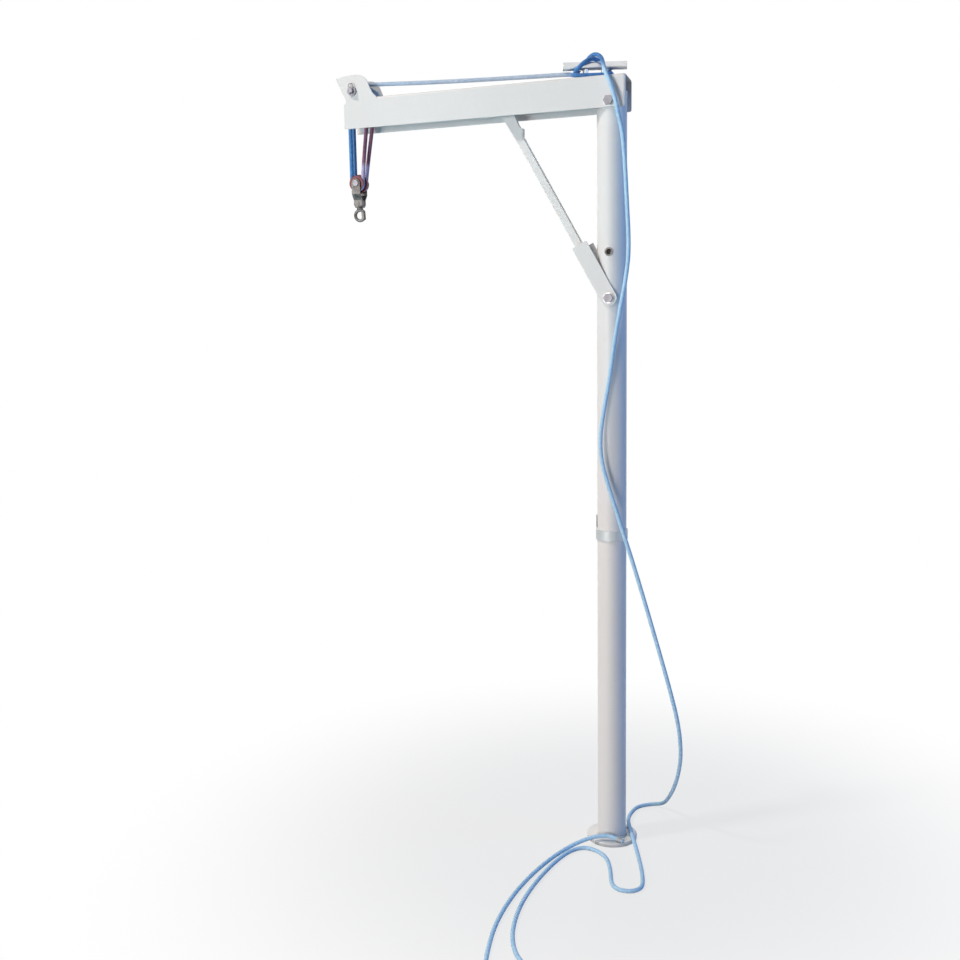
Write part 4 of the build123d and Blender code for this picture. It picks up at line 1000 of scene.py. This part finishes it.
@dataclass
class StopperKnot:
    """Knot that holds the falls' end above the boom's web, with its frayed tail."""

    place: tuple
    tail_yarns: int = 26
    tail_spread: float = 0.42
    tail_seed: int = 7
    tail_radius: float = 0.0032
    tail_length: float = 0.012
    tail_start: float = 0.003
    tail_points: int = 6
    yarn_radius: float = 0.0005
    yarn_depth: float = 0.004

    def route(self) -> list:
        """The knot's line: up through the web, round itself and out at the top, in metres.

        Returns:
            The route's control points.
        """
        turns = [
            (0.0, 0.0, -0.6), (0.0, 0.0, 4.5), (-7.5, -4.0, 7.0), (-7.0, 6.0, 6.0), (2.0, 8.5, 5.5),
            (8.5, 2.5, 6.5), (6.0, -6.5, 9.0), (-3.0, -8.0, 12.0), (-7.5, 0.0, 13.5), (-2.0, 6.0, 14.0),
            (4.5, 1.5, 12.5), (2.0, -5.0, 15.5), (-5.0, -6.0, 20.0), (-9.5, -6.5, 24.0)]
        x, y, z = self.place
        return [(x + u * MM, y + v * MM, z + w * MM) for u, v, w in turns]

    def yarn_roots(self) -> list:
        """Where the yarns spring from, evenly over the rope's section, in metres.

        Returns:
            The points, in the tail's own frame.
        """
        golden = math.pi * (3.0 - math.sqrt(5.0))
        roots = []
        for i in range(self.tail_yarns):
            radius = self.tail_radius * math.sqrt((i + 0.5) / self.tail_yarns)
            roots.append((radius * math.cos(i * golden), radius * math.sin(i * golden), -self.yarn_depth))
        return roots

    def build(self, finishes: Finishes) -> list:
        """Makes the knot and its yarns, which ride on the boom.

        Args:
            finishes: The davit's finishes.

        Returns:
            The pieces.
        """
        knot, line = Braid(step=0.001).tube("stopper_knot", self.route(), finishes.rope["rope_cleat"])
        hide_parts("dead_end_knot")
        way = Vector(line[-1]) - Vector(line[-self.tail_points])
        tip = Vector(line[-1]) + way.normalized() * self.tail_start
        kit = finishes.kit
        yarns = kit.make("frayed_tail", kit.yarn_brush, {
            "Length": self.tail_length, "Yarn Radius": self.yarn_radius, "Spread": self.tail_spread,
            "Seed": self.tail_seed, "Material": finishes.rope["rope_lead"]},
            points=self.yarn_roots(), place=facing(tip, way))
        for piece in (knot, yarns):
            attach(piece, "boom")
        return [knot, yarns]


# The rope


@dataclass
class RopeRun:
    """One stretch of the rope: its route, what it does and what carries it."""

    name: str
    points: list
    body: str
    finish: str
    lay: Lay
    far_end: FarEnd = FarEnd.OBJECT
    replaces: tuple = ()
    blend: tuple = ()
    with_pieces: tuple = ()
    sides: int = 24
    path_step: int = 4

    def build(self, finishes: Finishes) -> bpy.types.Object:
        """Args:
            finishes: The davit's finishes.

        Returns:
            The piece.
        """
        piece, line = Braid(sides=self.sides).tube(self.name, self.points, finishes.rope[self.finish])
        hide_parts(*self.replaces)
        if self.blend:
            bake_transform(piece)
        else:
            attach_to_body(piece, self.body)
        return piece


@dataclass
class Rope:
    """The davit's rope: falls, lead, cleat turns, tail, spare coil and end, in millimetres.

    Each of the two bends is a pair of points in metres, kept with the stretch of tail that passes from one
    body to the next; such a stretch is baked in place and carried by no body.
    """

    head_x: float = JOINTS["tackle_swing"][0]
    head_z: float = JOINTS["tackle_swing"][2]
    upper_radius: float = 17.0
    block_x: float = JOINTS["lower_near_spin"][0]
    block_z: float = JOINTS["lower_near_spin"][2]
    lower_radius: float = 12.0
    half_spacing: float = JOINTS["upper_far_spin"][1]
    block_lead: float = 14.0
    knot_x: float = -488.0
    knot_seat: float = 1.0
    web_depth: float = 4.0
    bend_height: float = 1454.0
    boom_top: float = SIZES.boom_top
    cleat_x: float = SIZES.cleat_x
    cleat_cant: float = SIZES.cleat_cant
    lead_end: tuple = (-95.0, -7.5, SIZES.boom_top + 12.0)
    cleat_exit: tuple = (13.0, -23.7, 27.1)
    tail_joint: tuple = (18.3, -38.0, 1046.0)
    boom_bend: tuple = ((0, 0, 1.40), (0, 0, 1.50))
    mast_bend: tuple = ((0, 0, 0.72), (0, 0, 1.046))
    on_floor: float = 4.2
    coil_x: float = -15.0
    coil_y: float = -605.0
    coil_inner: float = 40.0
    coil_side: float = 72.02
    coil_layers: int = 4
    coil_turns: int = 3
    turn_points: int = 16
    layer_middle: float = 0.54
    climb_from: float = 0.9
    tie_angle: float = 250.0
    tie_lift: float = 3.4
    tie_width: float = 16.0
    tie_pitch: float = 3.3
    tie_turns: int = 3
    tie_under: float = 1.7
    tie_over: float = 1.9
    tie_inside: float = 6.2
    tie_outside: float = 6.4
    whipping_length: float = 12.0

    def on_cleat(self, u: float, v: float, w: float) -> tuple:
        """A point of the cleat's own frame.

        Args:
            u: How far along the cleat.
            v: How far across it.
            w: How far above the boom.

        Returns:
            The point in the davit's frame.
        """
        cant = math.radians(self.cleat_cant)
        return (self.cleat_x + u * math.cos(cant) - v * math.sin(cant),
                u * math.sin(cant) + v * math.cos(cant), self.boom_top + w)

    def falls_route(self) -> list:
        """The four strands and the turns round the sheaves, in millimetres.

        Returns:
            The route's control points.
        """
        left, right = self.head_x - self.upper_radius, self.head_x + self.upper_radius
        low_left, low_right = self.block_x - self.lower_radius, self.block_x + self.lower_radius
        top, foot = self.head_z + self.upper_radius, self.block_z - self.lower_radius
        into_head, into_block = self.head_z - self.upper_radius, self.block_z + self.block_lead
        near, far = -self.half_spacing, self.half_spacing
        return [
            (left, near, self.head_z), (low_left, near, into_block), (low_left, near, foot),
            (low_right, near, foot), (low_right, near, into_block), (right, far, into_head),
            (right, far, top), (left, far, top), (left, far, into_head), (low_left, far, into_block),
            (low_left, far, foot), (low_right, far, foot), (low_right, far, into_block),
            self.dead_end_route()[0]]

    def dead_end_route(self) -> list:
        """The last strand's top, which bends between the tackle and the boom, in millimetres.

        Returns:
            The route's control points.
        """
        side = self.half_spacing
        start = Vector((self.block_x + self.lower_radius, side, self.block_z + self.block_lead))
        end = Vector((self.knot_x, side, self.boom_top - self.knot_seat))
        below = start.lerp(end, (self.bend_height - start.z) / (end.z - start.z))
        return [tuple(below), tuple(below.lerp(end, 0.5)), tuple(end)]

    def lead_route(self) -> list:
        """From the head sheave along the boom, in millimetres.

        Returns:
            The route's control points.
        """
        left, top = self.head_x - self.upper_radius, self.head_z + self.upper_radius
        near = -self.half_spacing
        return [(left, near, self.head_z + 0.3), (left, near, top + 1.0), (-504.5, near, top - 0.88),
                (-300.0, -8.2, self.boom_top + 18.0), self.lead_end]

    def cleat_route(self) -> list:
        """Round and over the cleat, in millimetres.

        Returns:
            The route's control points.
        """
        turns = [
            (-40.0, -12.0, 5.5), (-24.0, -14.0, 4.5), (0.0, -14.5, 4.5), (18.0, -14.0, 5.0),
            (31.0, -8.0, 8.0), (33.0, 5.0, 8.5), (29.0, 15.0, 17.0), (17.0, 13.5, 31.0), (0.0, 0.0, 38.5),
            (-17.0, -13.5, 31.0), (-29.0, -16.5, 20.0), (-36.0, -11.0, 13.5), (-37.5, 0.0, 11.0),
            (-35.0, 10.0, 11.0), (-29.0, 15.0, 20.0), (-17.0, 13.0, 34.0), (-2.0, 1.0, 47.5),
            (12.0, -13.0, 38.0), self.cleat_exit]
        start = [self.lead_end, (-80.0, -7.4, self.boom_top + 11.5)]
        return start + [self.on_cleat(*turn) for turn in turns]

    def upper_tail_route(self) -> list:
        """Over the boom's edge and down beside the mast, in millimetres.

        Returns:
            The route's control points.
        """
        return [
            self.on_cleat(*self.cleat_exit), self.on_cleat(14.9, -43.3, 7.2), (6.0, -44.0, 1487.0),
            (14.5, -42.5, 1459.0), (20.5, -41.0, 1428.0), (28.0, -40.0, 1398.0), (32.5, -39.5, 1346.0),
            (36.0, -39.0, 1275.0), (41.0, -39.0, 1185.0), (34.0, -39.0, 1128.0), (25.0, -38.5, 1083.0),
            self.tail_joint]

    def flat(self, *points: tuple) -> list:
        """Points given as x and y, where the rope lies on the floor."""
        return [(x, y, self.on_floor) for x, y in points]

    def lower_tail_route(self) -> list:
        """Down the mast, round its foot and along the floor to the coil, in millimetres.

        Returns:
            The route's control points.
        """
        return [
            self.tail_joint, (12.3, -37.5, 1013.0), (4.6, -38.0, 953.0), (-6.0, -39.0, 893.0),
            (-15.0, -40.0, 835.0), (-13.0, -40.5, 785.0), (5.3, -42.0, 724.0), (27.5, -44.0, 656.0),
            (43.5, -46.0, 610.0), (69.0, -50.0, 531.0), (98.0, -54.0, 436.0), (124.5, -54.0, 344.0),
            (141.0, -45.0, 270.0), (143.0, -18.0, 200.0), (132.0, 25.0, 140.0), (116.0, 75.0, 86.0),
            (99.0, 122.0, 44.0), (82.0, 156.0, 12.0), *self.flat((54.0, 164.0), (27.0, 143.0)),
            (20.0, 106.0, 5.5), (21.0, 66.0, 10.0), (29.0, 34.0, 13.0), (39.0, 4.0, 13.2),
            (50.0, -28.0, 12.6), (66.0, -70.0, 5.0), *self.flat(
                (84.0, -128.0), (95.0, -174.0), (96.0, -200.0), (80.0, -217.0), (55.0, -217.0),
                (39.0, -199.0), (28.0, -150.0), (12.0, -104.0), (-12.0, -80.0), (-42.0, -72.0),
                (-64.0, -93.0), (-78.0, -130.0), (-90.0, -180.0), (-99.0, -240.0), (-103.0, -305.0),
                (-99.0, -370.0), (-86.0, -432.0), (-60.0, -484.0), (-22.0, -513.0), (18.0, -520.0),
                (46.0, -543.0), (58.0, -578.0), (self.coil_x + self.coil_side, self.coil_y))]

    def end_route(self) -> list:
        """From the coil back over the deck plate, in millimetres.

        Returns:
            The route's control points.
        """
        return [
            *self.flat((self.coil_x - self.coil_side, self.coil_y), (-90.0, -577.0), (-103.0, -530.0),
                       (-116.0, -470.0), (-126.0, -405.0), (-128.0, -340.0), (-124.0, -275.0),
                       (-114.0, -212.0), (-100.0, -156.0)),
            (-84.0, -110.0, 4.8), (-63.0, -77.0, 9.0), (-39.0, -56.0, 15.0), (-14.0, -43.0, 19.5),
            (10.0, -40.0, 18.5), (31.0, -43.0, 13.0)]

    def round_coil(self, angle: float, radius: float, height: float) -> tuple:
        """A point at this angle round the coil's middle."""
        return (self.coil_x + radius * math.cos(angle), self.coil_y + radius * math.sin(angle), height)

    def lift_at_tie(self, angle: float) -> float:
        """How far the coil stands up, in millimetres, where the tie passes under it."""
        apart = (math.degrees(angle) - self.tie_angle + 180.0) % 360.0 - 180.0
        return self.tie_lift * math.exp(-(apart / self.tie_width) ** 2)

    def coil_route(self) -> list:
        """The spare length's turns, in millimetres.

        The rope comes in level on one side, lies in layers that spiral in and out in turn, and goes
        out level on the other side.

        Returns:
            The route's control points.
        """
        dia, turn = ROPE_DIA / MM, 2 * math.pi / self.turn_points
        inner, outer = self.coil_inner, self.coil_inner + (self.coil_turns - 0.5) * dia
        points = self.flat((self.coil_x + self.coil_side, self.coil_y))
        steps, angle = self.turn_points * self.coil_turns, 0.0
        for layer in range(self.coil_layers):
            climb = 0.5 * (layer < self.coil_layers - 1) / (1.0 - self.climb_from)
            for i in range(steps):
                angle -= turn
                share = i / (steps - 1)
                inwards = share * (outer - inner)
                radius = outer - inwards if layer % 2 == 0 else inner + inwards
                height = dia * (layer + self.layer_middle + climb * max(0.0, share - self.climb_from))
                points.append(self.round_coil(angle, radius, height + self.lift_at_tie(angle)))
        top = dia * (self.coil_layers - 1 + self.layer_middle)
        for share in (0.25, 0.5, 0.75, 0.92):
            angle -= turn * 2
            height = max(self.on_floor, top * (1.0 - share) + self.on_floor * share)
            points.append(self.round_coil(angle, self.coil_side, height))
        return points + self.flat((self.coil_x - self.coil_side, self.coil_y))

    def tie_route(self) -> list:
        """Three turns of thin line round the coil's section, and its two ends on top, in millimetres.

        Returns:
            The route's control points.
        """
        angle, dia = math.radians(self.tie_angle), ROPE_DIA / MM
        low = self.tie_under
        high = dia * (self.coil_layers - 0.5 + self.layer_middle) + self.tie_lift + self.tie_over
        inside = self.coil_inner - self.tie_inside
        outside = self.coil_inner + (self.coil_turns - 0.5) * dia + self.tie_outside
        bend, drop, stand = 5, 6, 7
        corners = [
            (inside + bend, high), (inside, high - drop), (inside, low + bend), (inside + bend, low),
            (outside - bend, low), (outside, low + bend), (outside, high - drop), (outside - bend, high)]
        first_end = [(outside - 2, high + stand)]
        last_end = [(inside + 14, high + 1), (outside - 6, high + stand)]
        section = first_end + corners * self.tie_turns + last_end
        points = []
        for i, (reach, height) in enumerate(section):
            aside = self.tie_pitch * (i / len(corners) - self.tie_turns / 2)
            x, y, _ = self.round_coil(angle, reach, height)
            points.append((x - aside * math.sin(angle), y + aside * math.cos(angle), height))
        return points

    def middle(self, x: float, z: float) -> tuple:
        """A point of the boom's middle plane, given in millimetres, in metres."""
        return (x * MM, 0, z * MM)

    def build(self, finishes: Finishes) -> None:
        """Makes every stretch.

        Args:
            finishes: The davit's finishes.
        """
        before_tip, end_tip = (Vector(point) for point in mm(self.end_route())[-2:])
        end_way = (end_tip - before_tip).normalized()
        whipping = Whipping(
            "end_whipping", end_tip - end_way * self.whipping_length * MM, end_way, "base").build(finishes)
        knot = StopperKnot(mm([(self.knot_x, self.half_spacing, self.boom_top)])[0]).build(finishes)
        runs = (
            RopeRun("falls", mm(self.falls_route()), "tackle", "rope_falls", Lay.TAUT,
                    replaces=("rope_falls",),
                    blend=("tackle", "block", self.middle(self.head_x, self.bend_height),
                           self.middle(self.head_x, self.block_z))),
            RopeRun("dead_end", mm(self.dead_end_route()), "boom", "rope_falls", Lay.TAUT,
                    replaces=("rope_falls",), far_end=FarEnd.KNOT, with_pieces=tuple(knot),
                    blend=("tackle", "boom", self.middle(self.knot_x, self.bend_height),
                           self.middle(self.knot_x, self.boom_top - self.web_depth))),
            RopeRun("lead", mm(self.lead_route()), "boom", "rope_lead", Lay.TAUT,
                    replaces=("rope_lead",)),
            RopeRun("cleat_turns", mm(self.cleat_route()), "boom", "rope_cleat", Lay.TAUT,
                    replaces=("rope_cleat_turns",)),
            RopeRun("tail_upper", mm(self.upper_tail_route()), "mast", "rope_tail", Lay.HANGING,
                    replaces=("rope_tail_upper",), blend=("mast", "boom", *self.boom_bend)),
            RopeRun("tail_lower", mm(self.lower_tail_route()), "base", "rope_tail", Lay.LOOSE,
                    replaces=("rope_tail_lower",), blend=("base", "mast", *self.mast_bend)),
            RopeRun("coil", mm(self.coil_route()), "base", "rope_tail", Lay.COILED,
                    replaces=("rope_coil",), sides=14),
            RopeRun("end", mm(self.end_route()), "base", "rope_tail", Lay.LOOSE, far_end=FarEnd.BARE,
                    replaces=("rope_end",), with_pieces=(whipping,)),
        )
        for run in runs:
            run.build(finishes)
        tie, _ = Braid(diameter=0.0028, relief=0.0001, sides=12, step=0.0008).tube(
            "coil_tie", mm(self.tie_route()), finishes.rope["tie_line"])
        attach(tie, "base")


# The davit's hard parts


@dataclass
class Welds:
    """Weld beads where the real pieces are welded, in millimetres until they are made."""

    mast_radius: float = 28.575
    sleeve_radius: float = 8.0
    spare_height: float = 1183.0
    boom_top: float = SIZES.boom_top
    cleat_x: float = SIZES.cleat_x
    cleat_cant: float = SIZES.cleat_cant
    post_spacing: float = 34.0
    post_radius: float = 5.5
    brace_height: float = SIZES.brace_height
    brace_lean: float = 29.2
    bar_outer: float = 12.9
    bar_half: float = 7.5
    web_start: float = 66.0
    web_end: float = 117.0
    bar_end: float = 352.0
    hook_half: float = 6.0
    proud: float = 0.3
    corner: float = 0.8
    ring_points: int = 32
    post_points: int = 24
    post_proud: float = 0.4
    post_lift: float = 0.2
    mast_bead: float = 0.0007
    boom_bead: float = 0.0013
    brace_bead: float = 0.0012
    overlap: float = 0.95
    unevenness: float = 0.22
    seed: int = 11

    def on_brace(self, along: float, outwards: float, aside: float) -> tuple:
        """A point of the brace's own frame.

        Args:
            along: How far up the brace from its bolt.
            outwards: How far out from its middle.
            aside: How far to the near side.

        Returns:
            The point in the davit's frame.
        """
        lean = math.radians(self.brace_lean)
        return (-along * math.sin(lean) - outwards * math.cos(lean), -aside,
                self.brace_height + along * math.cos(lean) - outwards * math.sin(lean))

    def sleeve_ring(self, side: int) -> list:
        """Where the spare sleeve comes out of the mast.

        Args:
            side: -1 on the near side and 1 on the far one.

        Returns:
            The points of the ring.
        """
        ring, reach = [], self.sleeve_radius + self.proud
        for i in range(self.ring_points):
            turn = 2 * math.pi * i / self.ring_points
            x = reach * math.cos(turn)
            ring.append((x, side * math.sqrt(self.mast_radius ** 2 - x * x),
                         self.spare_height + reach * math.sin(turn)))
        return ring

    def post_ring(self, side: int) -> list:
        """Where a post of the cleat stands on the boom.

        Args:
            side: -1 for the outboard post and 1 for the other.

        Returns:
            The points of the ring.
        """
        cant = math.radians(self.cleat_cant)
        x = self.cleat_x + side * self.post_spacing / 2 * math.cos(cant)
        y = side * self.post_spacing / 2 * math.sin(cant)
        reach, height = self.post_radius + self.post_proud, self.boom_top + self.post_lift
        turns = (2 * math.pi * i / self.post_points for i in range(self.post_points))
        return [(x + reach * math.cos(turn), y + reach * math.sin(turn), height) for turn in turns]

    def brace_lines(self) -> list:
        """Along the bar under the clevis's web, across the web's end, and beside the hook.

        Returns:
            The lines, each a list of points.
        """
        side, out, proud = self.bar_half + self.proud, self.bar_outer, self.proud
        ends = (self.web_start, self.web_end)
        lines = [[self.on_brace(along, out - proud, way * side) for along in ends] for way in (-1, 1)]
        lines.append([self.on_brace(self.web_end + proud, out + proud, way * self.bar_half)
                      for way in (-1, 1)])
        depths = (out - self.corner, out - 2 * self.bar_half + self.corner)
        lines += [[self.on_brace(self.bar_end + proud, depth, way * (self.hook_half + proud))
                   for depth in depths] for way in (-1, 1)]
        return lines

    def build(self, finishes: Finishes) -> None:
        """Makes one piece of beads for each body.

        Args:
            finishes: The davit's finishes.
        """
        jobs = (
            ("mast", self.mast_bead, [self.sleeve_ring(side) for side in (-1, 1)], True),
            ("boom", self.boom_bead, [self.post_ring(side) for side in (-1, 1)], True),
            ("brace", self.brace_bead, self.brace_lines(), False))
        for body, size, paths, closed in jobs:
            points, edges = [], []
            for path in paths:
                first = len(points)
                points += mm(path)
                edges += [(first + i, first + i + 1) for i in range(len(path) - 1)]
                if closed:
                    edges.append((first + len(path) - 1, first))
            piece = finishes.kit.make(f"{body}_welds", finishes.kit.weld_bead, {
                "Step": size * self.overlap, "Size": size, "Unevenness": self.unevenness,
                "Seed": self.seed, "Material": finishes.hard["weld"]}, points=points, edges=edges)
            attach(piece, body)


@dataclass
class BoltThreads:
    """Crests of the thread where the two long bolts come out of their nuts."""

    nut_face: float = 41.35
    nut_gap: float = 0.5
    bolt_radius: float = 4.95
    crests: int = 2
    pitch: float = 0.0009
    crest_radius: float = 0.0003
    heights: dict = field(default_factory=lambda: {
        "boom": SIZES.pivot_height, "brace": SIZES.brace_height})

    def build(self, finishes: Finishes) -> None:
        """Makes the crests of each bolt.

        Args:
            finishes: The davit's finishes.
        """
        for body, height in self.heights.items():
            place = Vector((0.0, (self.nut_face + self.nut_gap) * MM, height * MM))
            piece = finishes.kit.make(f"{body}_bolt_thread", finishes.kit.ring_stack, {
                "Count": self.crests, "Pitch": self.pitch, "Radius": self.bolt_radius * MM,
                "Wire": self.crest_radius, "Material": finishes.hard["bright_steel"]},
                place=facing(place, Vector((0.0, 1.0, 0.0))))
            attach(piece, body)


@dataclass
class Dressing:
    """Finishes for the CAD nodes, by the record's slot and by node."""

    by_slot: dict = field(default_factory=lambda: {
        Slot.PAINT: "powder_coat", Slot.STEEL: "bright_steel", Slot.BLACK: "black_moulding",
        Slot.NYLON: "nylon", Slot.SHEAVE: "maroon_moulding"})
    by_finish: dict = field(default_factory=lambda: {
        "bar_coat": ("brace_bar",),
        # The clamp strap's grey-blue is partly painted shadow.
        "strap_grey_painted_shadow": ("clamp_strap",),
        "dull_steel": ("block_straps", "swivel_hook", "crosshead", "hook_gate", "swivel_nut", "gate_pin",
                       "brace_sleeves", "block_axle_ring"),
        "clip_steel": ("axle_clip", "axle_washer", "sheave_axle", "block_axle", "pivot_bolt",
                       "brace_bolt")})

    def build(self, finishes: Finishes) -> None:
        """Gives each shown CAD node its finish.

        Args:
            finishes: The davit's finishes.
        """
        slots = {part["node"]: Slot(part["material_slot"]) for part in frame["record"]["subparts"]}
        by_node = {node: finish for finish, nodes in self.by_finish.items() for node in nodes}
        for name, node in frame["nodes"].items():
            finish = by_node.get(name, self.by_slot.get(slots[name]))
            if finish is None:
                continue
            node.data.materials.clear()
            node.data.materials.append(finishes.hard[finish])
            LOG.info("%s gets %s", name, finish)


def main() -> None:
    logging.basicConfig(level=logging.INFO, format="%(name)s: %(message)s")
    finishes = Finishes()
    Studio().build()
    Rope().build(finishes)
    Welds().build(finishes)
    BoltThreads().build(finishes)
    Dressing().build(finishes)


if __name__ == "__main__":
    main()
